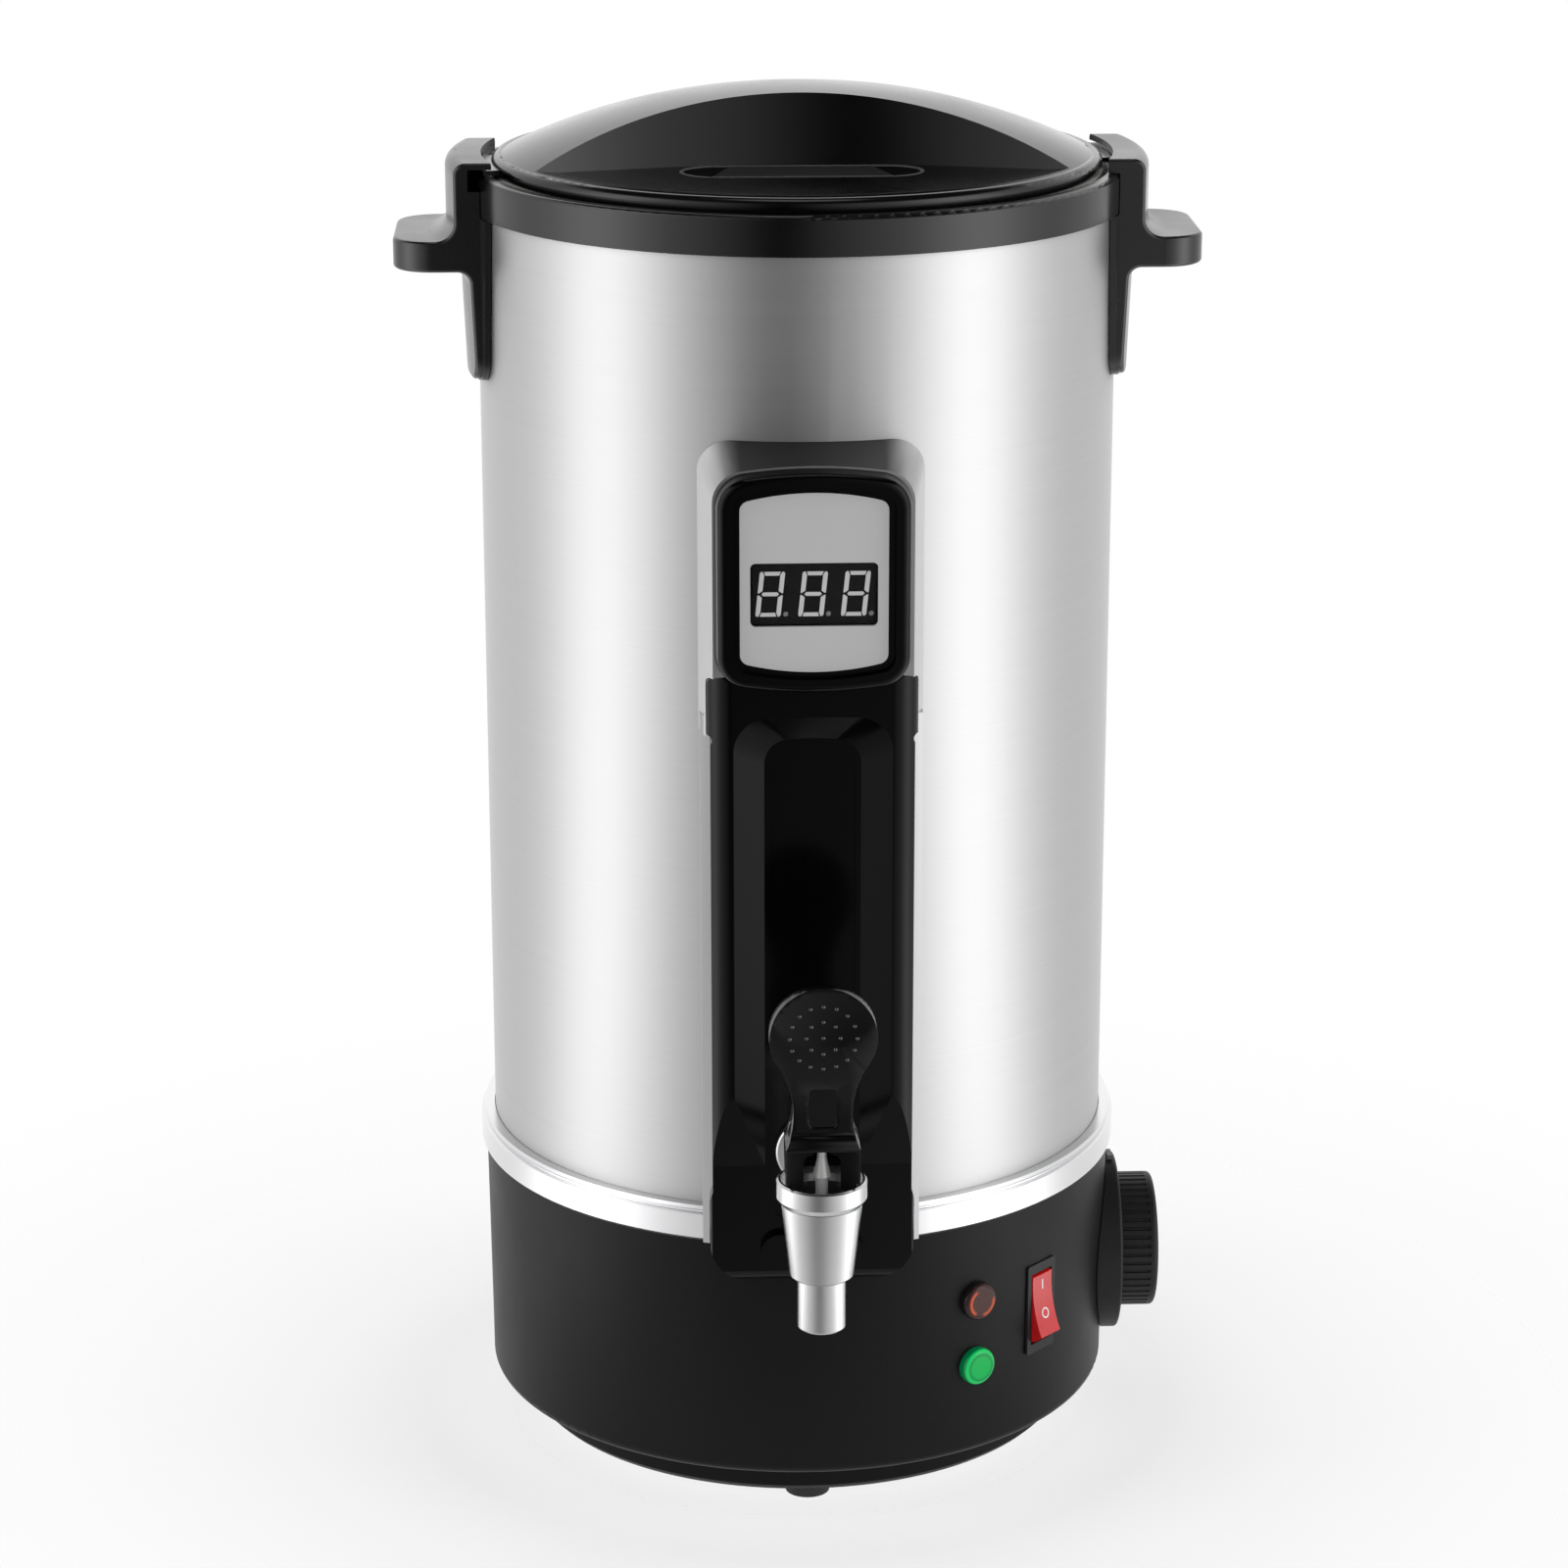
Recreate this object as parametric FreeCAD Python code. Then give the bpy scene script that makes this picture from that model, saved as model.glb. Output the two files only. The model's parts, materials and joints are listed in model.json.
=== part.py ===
"""Countertop urn for melting candle wax: a double-walled steel drum on a heated base, with a
bayonet lid, two side handles, a front display housing and a self-closing draw-off tap.

Millimetres, +Z up, origin on the drum's axis at floor level, front towards -Y.
"""
import FreeCAD, Part
import math
import os

V = FreeCAD.Vector
X_AXIS = V(1, 0, 0)
Y_AXIS = V(0, 1, 0)
Z_AXIS = V(0, 0, 1)
ORIGIN = V(0, 0, 0)

# ---- clearances -------------------------------------------------------------------------------
FIT = 0.05            # radial clearance of a shaft or screw in its hole
SEAT = 0.3            # gap between two pieces that move past each other
SLIP = 0.2            # gap round a fixed piece that drops into another

# ---- drum, pot and collar ---------------------------------------------------------------------
DRUM_R = 103.0
DRUM_WALL = 0.8
POT_R = DRUM_R - 7.0
POT_WALL = 1.0
POT_FLOOR = 115.0
POT_CORNER = 6.0
POT_RIM = 1.0
COLLAR_LOW = 417.0
COLLAR_HEIGHT = 12.4
COLLAR_WALL = 1.6
COLLAR_LIP = 3.0
COLLAR_MOUTH_R = DRUM_R - 3.4
COLLAR_EDGE = 1.2

# ---- base -------------------------------------------------------------------------------------
FOOT_HEIGHT = 5.4
FOOT_R = 8.0
FOOT_CIRCLE = 79.0
PAN_R = DRUM_R - 10.4
PAN_WALL = 1.4
PAN_FLANGE = 6.0
SHELL_LOW = 17.0
SHELL_HIGH = 98.8
SHELL_TOP_R = DRUM_R + 3.0
SHELL_LOW_R = SHELL_TOP_R - 1.0
SHELL_WALL = 1.6
SHELL_LIP = 10.2
SHELL_LEDGE = 10.0
SHELL_FOOT_ROUND = 3.5
BAND_HEIGHT = 11.6
BAND_R = SHELL_TOP_R + 1.6
BAND_BEAD = 1.1
SHIELD_T = 1.2
PLATE_R = 82.0
PLATE_T = 8.0
ELEMENT_R = 4.0
ELEMENT_CIRCLE = 60.0
ELEMENT_GAP = 16.0    # degrees left open between its ends
ELEMENT_TAIL_R = 3.2
ELEMENT_TAIL_L = 26.0
CUTOUT_R = 11.0
POST_R = 3.0
POST_CIRCLE = 74.0
POSTS = 3
FEET = 4
FOOT_TAPER = 0.7
FOOT_WELL_R = 4.4
FOOT_WELL_DEPTH = 2.6
FOOT_SCREW_R = 2.0
FOOT_SCREW_L = 7.0
FOOT_HEAD_R = 3.8
BASE_SCREW_R = 1.5
BASE_SCREW_L = 5.0
BASE_HEAD_R = 2.8
SMALL_HEAD_H = 1.8    # heads of the foot, base and housing screws
PROBE_R = 3.0
PROBE_L = 28.0
PROBE_Y = 46.0
TERMINAL_W = 44.0
TERMINAL_D = 20.0
TERMINAL_H = 14.0
TERMINAL_Y = 28.0
TERMINAL_POLES = 4
TERMINAL_PITCH = 11.0
TERMINAL_ROW = 10.0
TERMINAL_WELL_R = 2.4
TERMINAL_FLOOR = 6.0

# ---- handles ----------------------------------------------------------------------------------
HANDLE_HALF = 28.0
LEG_BOTTOM = 364.0
LEG_R = DRUM_R + 5.3
LEG_TAPER = 1.4
GRIP_LOW = 399.4
GRIP_HIGH = GRIP_LOW + 9.8
HOOK_R = DRUM_R + 9.8
HOOK_ROUND = 3.8
GRIP_TIP_R = HOOK_R + 16.6
GRIP_CORNER = 13.0
WING_T = 1.9
WING_HALF_TOP = 34.0
WING_HALF_LOW = 29.8
SLOT_HEIGHT = 6.9
SLOT_STOP = 9.0       # how far the slot runs past the handle's middle
HANDLE_SCREW_Z = (379.0, 404.5)
HANDLE_SCREW_R = 2.0
HANDLE_SCREW_L = 4.8
HANDLE_HEAD_R = 3.6
HANDLE_HEAD_H = 2.2
GRIP_UNDER_ROUND = 4.0
GRIP_TOP_ROUND = 6.0
LEG_TIP_ROUND = 8.0
FACE_ROUND = 1.2

# ---- lid --------------------------------------------------------------------------------------
LID_R = DRUM_R - 5.0
LID_FLANGE_Z = COLLAR_LOW + COLLAR_HEIGHT + 1.6
DOME_R = 222.0
DOME_RIM = 2.43536    # from the flange up to the rim of the dome
LID_WALL = 2.6
LID_NECK_R = LID_R - 1.2
LID_SKIRT_R = LID_R - 3.4
LID_SKIRT_T = 2.0
LID_SKIRT_DEPTH = 10.0
SCOOP_FLOOR = LID_FLANGE_Z + 1.0
SCOOP_RISE = 1.7
SCOOP_R = LID_R - 4.4
RIDGE_HALF = 15.7
RIDGE_BOW_R = 165.0
RIDGE_DRAFT = math.radians(13.5)
LUG_R = DRUM_R + SLIP
LUG_T = 1.5
LUG_AFT = 4.0         # degrees the lug reaches behind the handle line
LUG_FORE = 14.6       # degrees it reaches towards the slot's open end
GASKET_T = 1.5
INSET_LENGTH = 77.0
INSET_WIDTH = 23.6
INSET_T = 1.0
INSET_Y = 36.4

# ---- front housing ----------------------------------------------------------------------------
FRAME_HALF = 34.6
FRAME_R = DRUM_R + 5.5
HEAD_TOP = 364.2
HEAD_HALF = 35.6
HEAD_LEDGE = 0.6      # how far the frame shows round the bezel
HEAD_FRONT_Y = FRAME_R + 6.5
HEAD_CORNER = 12.0
HEAD_ARCH = 3.0
BEZEL_HALF = 30.2
BEZEL_LOW = 285.4
BEZEL_TOP = 355.0
BEZEL_FRONT_Y = HEAD_FRONT_Y + 6.0
BEZEL_TAPER = 1.2
LABEL_HALF = 22.6
LABEL_LOW = 292.4
LABEL_TOP = 348.2
LABEL_Y = BEZEL_FRONT_Y - 2.0
LABEL_SEAT = 2.1      # width of the sunk ring round it
LABEL_T = 1.3
WINDOW_W = 38.6
WINDOW_H = 19.6
WINDOW_Z = 316.6
MODULE_W = 37.6
MODULE_H = 19.0
MODULE_D = 8.0
BOARD_W = 44.0
BOARD_H = 48.0
BOARD_T = 1.6
COVER_HALF = 31.6
SHOULDER_HALF = 32.6
COVER_LOW = 87.6
COVER_TOP = BEZEL_LOW + 5.0
COVER_FLOOR_Y = FRAME_R + 2.1
COVER_RIDGE_Y = COVER_FLOOR_Y + 4.0
COVER_CORNER = 15.0
SHOULDER_CORNER = 3.6
SHOULDER_ROUND = 3.0
NOTCH_Z = COVER_TOP - 21.8
NOTCH_R = 1.5
CHANNEL_HALF = 24.6
CHANNEL_FLOOR_HALF = 15.0
CHANNEL_TOP = COVER_TOP - 13.4
CHANNEL_TOP_SLOPE = 8.0
RIDGE_END = 128.0
RIDGE_FADE = 24.0
ARCH_HALF = 13.2
ARCH_TOP = CHANNEL_TOP - 8.5
ARCH_LOW = 106.0
ARCH_DEPTH = 0.8
BOSS_HALF = 16.4
BOSS_TOP = 106.0
BOSS_Y = COVER_FLOOR_Y + 3.0
OPENING_SIDE = 2.6    # how far the head's opening lies inside the bezel's outline
OPENING_END = 3.0
OPENING_CORNER = 7.0
NECK_SINK = 1.5       # how far the bezel's neck reaches behind the frame's plate
HOUSING_SCREWS = ((-24.0, 122.0), (24.0, 122.0), (-24.0, 262.0), (24.0, 262.0))
HOUSING_SCREW_R = 1.5
HOUSING_SCREW_L = 4.2
HOUSING_HEAD_R = 2.7
CABLE_HOLE_R = 5.0
CABLE_HOLE_Z = 340.0

# ---- tap --------------------------------------------------------------------------------------
TAP_Y = DRUM_R + 67.0
TAP_Z = 133.0
SHANK_R = 8.0
ARM_R = 6.4
SHANK_BORE = 4.6
FLANGE_R = 11.8
FLANGE_T = 3.0
CUP_LOW = 115.6
CUP_LOW_R = 9.8
CUP_TOP_R = 12.5
CUP_WALL = 2.0
SPOUT_R = 7.4
SPOUT_BORE = 5.9
SPOUT_END = 99.0
SEAT_Z = 119.4
RING_R = 13.8
RING_LOW = 139.8
RING_TOP = 147.6
RING_BORE = 12.6
RING_CHAMFER = 1.6
NECK_R = 11.3
BONNET_Z = 141.0
BONNET_T = 1.2
RING_LIP_T = 0.8
RING_LIP_R = 9.6
STEM_R = 1.9
STEM_CONE_R = 2.8
STEM_CONE_LOW = 148.2
STEM_CONE_TOP = 154.8
STEM_TIP_R = 1.4
EYE_R = 3.4
EYE_W = 4.6
PIN_R = 1.5
PIN_Z = 164.0
LEVER_LOW = 143.9
LEVER_FOOT_HALF = 11.2
LEVER_NECK_HALF = 8.9
LEVER_FOOT_TOP = 160.4
LEVER_NECK_Z = 170.3
PAD_Z = 195.8
PAD_R = 16.2
PAD_DISH_R = 12.4
PAD_DISH_DEPTH = 1.0
HOOD_R = 11.0         # hollow of the lever's foot, open to the front
HOOD_Y = -12.0        # its centre, ahead of the tap's axis
HOOD_TOP = 159.8
YOKE_HALF = 5.6
YOKE_TOP = 155.4
FOOT_R_LIMIT = 11.5   # the foot swings inside the ring
NUT_R = 11.6
NUT_T = 5.0
WASHER_R = 11.0
WASHER_T = 2.0

# ---- controls ---------------------------------------------------------------------------------
SWITCH_AZ = -43.0
SWITCH_Z = 61.3
SWITCH_W = 14.4
SWITCH_H = 31.4
SWITCH_FLANGE = 0.7
SWITCH_BODY_W = 12.0
SWITCH_BODY_H = 27.2
SWITCH_BODY_D = 19.0
ROCKER_W = 10.0
ROCKER_R = 12.2
ROCKER_TILT = 11.0
ROCKER_FRONT = 5.2
ROCKER_HOLLOW_R = 42.0
PIVOT_DEPTH = 3.4
PIVOT_R = 1.2
LAMP_AZ = -58.9
RED_LAMP_Z = 71.8
GREEN_LAMP_Z = 48.7
LAMP_R = 6.3
LAMP_PROUD = 3.2
LAMP_BODY_R = 5.0
LAMP_BODY_D = 14.0
KNOB_Z = 54.4
DIAL_R = 30.4
DIAL_X = SHELL_TOP_R + 4.0
KNOB_R = 23.0
KNOB_X = DIAL_X + 13.1
KNOB_GAP = 0.8
KNOB_RIBS = 48
KNOB_RIB_R = 0.6
SPINDLE_R = 3.0
THERMOSTAT_R = 17.0
THERMOSTAT_D = 24.0
INLET_Z = 50.0
INLET_W = 31.0
INLET_H = 25.0
INLET_FLANGE = 2.0
INLET_BODY_W = 27.0
INLET_BODY_H = 19.6
INLET_BODY_D = 22.0
INLET_SOCKET_W = 24.0
INLET_SOCKET_H = 16.6
INLET_SOCKET_D = 17.0
PIN_W = 4.0
PIN_H = 2.0
PIN_L = 15.0

# ---- worked out from the sizes above ----------------------------------------------------------
COLLAR_TOP = COLLAR_LOW + COLLAR_HEIGHT
FLANGE_TOP = COLLAR_TOP - COLLAR_LIP
DRUM_TOP = FLANGE_TOP - POT_RIM
COLLAR_BORE = DRUM_R + SLIP
COLLAR_R = COLLAR_BORE + COLLAR_WALL
LID_BASE = FLANGE_TOP + SEAT + GASKET_T + SEAT
BAND_LOW = SHELL_HIGH
BAND_TOP = BAND_LOW + BAND_HEIGHT
DRUM_BORE = DRUM_R - DRUM_WALL
SHELL_BORE = SHELL_TOP_R - SHELL_WALL
SHIELD_TOP = SHELL_HIGH - SHELL_WALL
PLATE_TOP = POT_FLOOR - POT_WALL
PLATE_LOW = PLATE_TOP - PLATE_T
PAN_FLOOR = FOOT_HEIGHT + PAN_WALL
PAN_RIM_Z = SHELL_LOW + SHELL_WALL
DOME_REACH = LID_R - 3.4
LID_TOP = LID_FLANGE_Z + DOME_RIM + DOME_R - math.sqrt(DOME_R ** 2 - DOME_REACH ** 2)
DOME_Z = LID_TOP - DOME_R
SLOT_HIGH = LID_FLANGE_Z + 1.0
SLOT_LOW = SLOT_HIGH - SLOT_HEIGHT
SLOT_R = LUG_R + 5.4
HOOK_TOP = SLOT_HIGH + 2.0
HOOK_MOUTH_R = LID_R + 3.3


# ---- small helpers ----------------------------------------------------------------------------
def save(name, shape):
    """Write one piece to its own STEP file."""
    shape.exportStep("parts/%s.step" % name)


def face_of(edges):
    return Part.Face(Part.Wire(edges))


def turned(points):
    """Solid of revolution about Z from a closed (radius, height) outline."""
    outline = [V(r, 0, z) for r, z in points]
    outline.append(outline[0])
    return Part.Face(Part.makePolygon(outline)).revolve(ORIGIN, Z_AXIS, 360)


def ring(inner, outer, low, high):
    return turned([(inner, low), (outer, low), (outer, high), (inner, high)])


def rod(start, direction, radius, length):
    return Part.makeCylinder(radius, length, start, direction)


def block(x0, x1, y0, y1, z0, z1):
    return Part.makeBox(x1 - x0, y1 - y0, z1 - z0, V(x0, y0, z0))


def rounded_edges(solid, axis, radius, keep=None):
    """Fillet the straight edges that run along an axis, or those of them that keep() picks."""
    chosen = []
    for edge in solid.Edges:
        if edge.Curve.TypeId != "Part::GeomLine":
            continue
        along = edge.tangentAt(edge.FirstParameter).cross(axis).Length < 1e-6
        if along and (keep is None or keep(edge.CenterOfMass)):
            chosen.append(edge)
    return solid.makeFillet(radius, chosen)


def level_arcs(solid, height, radius):
    """Round edges about the drum's axis at one height and one radius."""
    chosen = []
    for edge in solid.Edges:
        if edge.Curve.TypeId != "Part::GeomCircle":
            continue
        about_axis = abs(edge.Curve.Axis.z) > 0.999 and abs(edge.Curve.Center.x) < 1e-3
        at_height = abs(edge.Curve.Center.z - height) < 1e-3
        if about_axis and at_height and abs(edge.Curve.Radius - radius) < 1e-3:
            chosen.append(edge)
    return chosen


def half_turn(solid):
    """The same piece on the opposite side of the drum."""
    copy = solid.copy()
    copy.rotate(ORIGIN, Z_AXIS, 180)
    return copy


def at_azimuth(solid, azimuth):
    """Turn a piece that is drawn along +X to its place round the drum."""
    solid.rotate(ORIGIN, Z_AXIS, azimuth)
    return solid


def arched_outline(half, low, high, arch, y):
    """Closed wire facing -Y: straight sides, with the top and the foot bowed out by arch."""
    left_low = V(-half, -y, low + arch)
    left_high = V(-half, -y, high - arch)
    right_low = V(half, -y, low + arch)
    right_high = V(half, -y, high - arch)
    top = Part.Arc(left_high, V(0, -y, high), right_high).toShape()
    foot = Part.Arc(right_low, V(0, -y, low), left_low).toShape()
    left = Part.makeLine(left_low, left_high)
    right = Part.makeLine(right_high, right_low)
    return Part.Wire([left, top, right, foot])


def arched_prism(half, low, high, arch, corner, y_back, y_front):
    """Arched plate between two planes in front of the drum, its four corners rounded."""
    outline = Part.Face(arched_outline(half, low, high, arch, y_back))
    solid = outline.extrude(V(0, y_back - y_front, 0))
    return rounded_edges(solid, Y_AXIS, corner)


def front_wire(solid, y):
    """Outer wire of the face that lies in the plane at this distance in front of the axis."""
    for face in solid.Faces:
        if abs(face.CenterOfMass.y + y) < 1e-6 and face.Surface.TypeId == "Part::GeomPlane":
            return face.OuterWire


def arched_loft(back, front):
    """Tapered arched form; back and front are (half, low, high, arch, corner, y)."""
    wires = []
    for half, low, high, arch, corner, y in (back, front):
        wires.append(front_wire(arched_prism(half, low, high, arch, corner, y, y + 1), y))
    return Part.makeLoft(wires, True)


def screw(start, direction, radius, length, head_r, head_h):
    """Pan-head screw; start is under the head, and the shank runs along direction."""
    shank = rod(start, direction, radius, length)
    head = rod(start, direction * -1, head_r, head_h)
    rim = [edge for edge in head.Edges if abs((edge.CenterOfMass - start).Length - head_h) < 1e-6]
    return shank.fuse(head.makeFillet(head_h * 0.45, rim)).removeSplitter()


# ---- drum, pot and collar ---------------------------------------------------------------------
def housing_screw_axis(x):
    """Direction of a housing screw at this distance from the middle: square to the drum's wall."""
    return V(x, -math.sqrt(DRUM_BORE ** 2 - x ** 2), 0).normalize()


def drum_shell():
    shell = ring(DRUM_BORE, DRUM_R, BAND_LOW, DRUM_TOP)
    cuts = [rod(V(0, -DRUM_R - 5, TAP_Z), Y_AXIS, SHANK_R + FIT, 20)]
    cuts.append(rod(V(0, -DRUM_R - 5, CABLE_HOLE_Z), Y_AXIS, CABLE_HOLE_R, 20))
    for height in HANDLE_SCREW_Z:
        cuts.append(rod(V(-DRUM_R - 5, 0, height), X_AXIS, HANDLE_SCREW_R + FIT, 2 * DRUM_R + 10))
    for x, height in HOUSING_SCREWS:
        direction = housing_screw_axis(x)
        start = direction * (DRUM_R - 8) + V(0, 0, height)
        cuts.append(rod(start, direction, HOUSING_SCREW_R + FIT, 16))
    return shell.cut(cuts)


def inner_pot():
    """Drawn steel pot: flat floor, rounded corner, and a rim turned out over the drum's edge."""
    outside = POT_R + POT_WALL
    low = POT_FLOOR - POT_WALL
    body = rod(V(0, 0, low), Z_AXIS, outside, FLANGE_TOP - low)
    body = body.fuse(rod(V(0, 0, DRUM_TOP), Z_AXIS, DRUM_R, POT_RIM)).removeSplitter()
    foot = [e for e in body.Edges if abs(e.CenterOfMass.z - low) < 1e-6]
    body = body.makeFillet(POT_CORNER + POT_WALL, foot)
    hollow = rod(V(0, 0, POT_FLOOR), Z_AXIS, POT_R, FLANGE_TOP)
    floor = [e for e in hollow.Edges if abs(e.CenterOfMass.z - POT_FLOOR) < 1e-6]
    hollow = hollow.makeFillet(POT_CORNER, floor)
    outlet = rod(V(0, -DRUM_R, TAP_Z), Y_AXIS, SHANK_R + FIT, 20)
    return body.cut([hollow, outlet])


def top_collar():
    """Moulded ring over the drum's top edge that clamps the pot's rim."""
    solid = turned([
        (COLLAR_BORE, COLLAR_LOW), (COLLAR_R, COLLAR_LOW), (COLLAR_R, COLLAR_TOP),
        (COLLAR_MOUTH_R, COLLAR_TOP), (COLLAR_MOUTH_R, FLANGE_TOP), (COLLAR_BORE, FLANGE_TOP)])
    edges = [e for e in solid.Edges if abs(e.CenterOfMass.z - COLLAR_TOP) < 1e-6]
    return solid.makeFillet(COLLAR_EDGE, [e for e in edges if e.Curve.TypeId == "Part::GeomCircle"])


# ---- handles ----------------------------------------------------------------------------------
def handle_body():
    """Leg, grip and hook in one: each follows the drum, and all end at two flat side faces."""
    span = block(0, GRIP_TIP_R + 1, -HANDLE_HALF, HANDLE_HALF, LEG_BOTTOM, HOOK_TOP)
    span = rounded_edges(span, X_AXIS, LEG_TIP_ROUND, lambda p: p.z < LEG_BOTTOM + 1)
    hook = rod(V(0, 0, GRIP_LOW), Z_AXIS, HOOK_R, HOOK_TOP - GRIP_LOW)
    leg = Part.makeCone(LEG_R - LEG_TAPER, LEG_R, GRIP_LOW - LEG_BOTTOM, V(0, 0, LEG_BOTTOM), Z_AXIS)
    grip = block(0, GRIP_TIP_R, -HANDLE_HALF, HANDLE_HALF, GRIP_LOW, GRIP_HIGH)
    grip = rounded_edges(grip, Z_AXIS, GRIP_CORNER, lambda p: p.x > GRIP_TIP_R - 1)
    solid = hook.fuse([leg, grip]).common(span).removeSplitter()
    solid = solid.makeFillet(GRIP_UNDER_ROUND, level_arcs(solid, GRIP_LOW, LEG_R))
    solid = solid.makeFillet(GRIP_TOP_ROUND, level_arcs(solid, GRIP_HIGH, HOOK_R))
    solid = solid.makeFillet(HOOK_ROUND, level_arcs(solid, HOOK_TOP, HOOK_R))
    return solid.makeFillet(FACE_ROUND, handle_rim(solid))


def handle_rim(solid):
    """Outer edges of the side faces above the grip's top, and the grip's edges round its tip."""
    chosen = []
    for edge in solid.Edges:
        p = edge.CenterOfMass
        on_side = abs(abs(p.y) - HANDLE_HALF) < 1e-3 and p.z > GRIP_HIGH - 1e-3 and p.x > 1
        on_top = abs(p.z - GRIP_HIGH) < 1e-3 and p.x > HOOK_R + GRIP_TOP_ROUND + 0.5
        on_foot = abs(p.z - GRIP_LOW) < 1e-3 and p.x > GRIP_TIP_R - GRIP_CORNER
        if on_side or on_top or on_foot:
            chosen.append(edge)
    return chosen


def handle_wing():
    """Thin flange of the leg that hugs the drum, a little wider than the leg, round at its foot."""
    bore = DRUM_R + SLIP
    top = COLLAR_LOW - SLIP
    outline = Part.makePolygon([
        V(0, -WING_HALF_LOW, LEG_BOTTOM), V(0, WING_HALF_LOW, LEG_BOTTOM),
        V(0, WING_HALF_TOP, top), V(0, -WING_HALF_TOP, top), V(0, -WING_HALF_LOW, LEG_BOTTOM)])
    wing = Part.Face(outline).extrude(V(DRUM_R + 20, 0, 0))
    wing = rounded_edges(wing, X_AXIS, LEG_TIP_ROUND, lambda p: p.z < LEG_BOTTOM + 1)
    return wing.common(ring(bore, bore + WING_T, LEG_BOTTOM - 1, top))


def handle():
    """One moulded handle, drawn on +X: leg, grip, hook over the collar and its bayonet slot."""
    solid = handle_body()
    solid = solid.fuse(handle_wing())
    solid = solid.cut([
        rod(V(0, 0, LEG_BOTTOM - 5), Z_AXIS, DRUM_R + SLIP, COLLAR_LOW - LEG_BOTTOM + 5 + SLIP),
        rod(V(0, 0, COLLAR_LOW - SLIP), Z_AXIS, COLLAR_R + SLIP, COLLAR_HEIGHT + 2 * SLIP),
        rod(V(0, 0, COLLAR_LOW), Z_AXIS, HOOK_MOUTH_R, HOOK_TOP)])
    slot = ring(HOOK_MOUTH_R - 5, SLOT_R, SLOT_LOW, SLOT_HIGH)
    solid = solid.cut(slot.common(block(0, 200, -SLOT_STOP, 200, 0, 600)))
    for height in HANDLE_SCREW_Z:
        solid = solid.cut(rod(V(DRUM_R - 5, 0, height), X_AXIS, HANDLE_SCREW_R + FIT,
                              HANDLE_SCREW_L + 5 - DRUM_WALL + SLIP))
    return solid.removeSplitter()


def handle_screws():
    screws = []
    for height in HANDLE_SCREW_Z:
        start = V(math.sqrt(DRUM_BORE ** 2 - HANDLE_HEAD_R ** 2), 0, height)
        one = screw(start, X_AXIS, HANDLE_SCREW_R, HANDLE_SCREW_L, HANDLE_HEAD_R, HANDLE_HEAD_H)
        screws.append(one)
        screws.append(half_turn(one))
    return Part.makeCompound(screws)


# ---- lid --------------------------------------------------------------------------------------
def dome_height(radius, sphere_r):
    return DOME_Z + math.sqrt(sphere_r ** 2 - radius ** 2)


def lid_turned(inset):
    """Dome with its rolled rim; inset draws the inside of the moulding."""
    sphere_r = DOME_R - inset
    reach = DOME_REACH - inset
    rim_z = dome_height(reach, sphere_r)
    low = LID_BASE - 20 if inset else LID_FLANGE_Z
    side = LID_R - inset * 1.4
    start = V(0, 0, low)
    foot = V(side, 0, low)
    shoulder = V(side, 0, LID_FLANGE_Z + 0.5 - inset)
    roll = V(side - 0.9, 0, rim_z - 0.55)
    crown = V(reach, 0, rim_z)
    middle = V(reach / 2, 0, dome_height(reach / 2, sphere_r))
    top = V(0, 0, LID_TOP - inset)
    edges = [
        Part.makeLine(start, foot), Part.makeLine(foot, shoulder),
        Part.Arc(shoulder, roll, crown).toShape(), Part.Arc(crown, middle, top).toShape(),
        Part.makeLine(top, start)]
    return face_of(edges).revolve(ORIGIN, Z_AXIS, 360)


def ridge_wire(height, inset):
    """Plan outline of the bridge at one height: two bows, narrowest in the middle."""
    half = RIDGE_HALF + (LID_TOP - height) * math.tan(RIDGE_DRAFT) - inset
    reach = LID_R + 12
    bow_r = RIDGE_BOW_R + inset
    flare = half + bow_r - math.sqrt(bow_r ** 2 - reach ** 2)
    front = Part.Arc(V(-reach, -flare, height), V(0, -half, height), V(reach, -flare, height))
    back = Part.Arc(V(reach, flare, height), V(0, half, height), V(-reach, flare, height))
    right = Part.makeLine(V(reach, -flare, height), V(reach, flare, height))
    left = Part.makeLine(V(-reach, flare, height), V(-reach, -flare, height))
    return Part.Wire([front.toShape(), right, back.toShape(), left])


def lid_scoops(inset):
    """The two crescents scooped out beside the bridge, down to a slightly dished floor."""
    floor = SCOOP_FLOOR - inset
    rim = floor + SCOOP_RISE
    ceiling = LID_TOP + 20
    dish = turned([
        (0, floor), (SCOOP_R - 28, floor + 0.35), (SCOOP_R - 8, floor + SCOOP_RISE * 0.5),
        (SCOOP_R, rim), (LID_R + 12, rim + 6), (LID_R + 12, ceiling), (0, ceiling)])
    ridge = Part.makeLoft([ridge_wire(floor - 5, inset), ridge_wire(ceiling, inset)], True)
    return dish.cut(ridge)


def lid_lugs():
    """Two bayonet lugs that slide under the hooks of the handles."""
    low = LID_FLANGE_Z + 0.4 - LUG_T
    span = LUG_AFT + LUG_FORE
    tab = Part.makeCylinder(LUG_R, LUG_T, V(0, 0, low), Z_AXIS, span)
    tab.rotate(ORIGIN, Z_AXIS, -LUG_AFT)
    tab = tab.cut(rod(V(0, 0, low - 1), Z_AXIS, LID_NECK_R - 1, LUG_T + 2))
    return [tab, half_turn(tab)]


def inset_stadium(length, width, low, high):
    """Upright stadium block, centred in the front scoop."""
    slab = block(-length / 2, length / 2, -INSET_Y - width / 2, -INSET_Y + width / 2, low, high)
    return rounded_edges(slab, Z_AXIS, width / 2 - 0.01)


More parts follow.
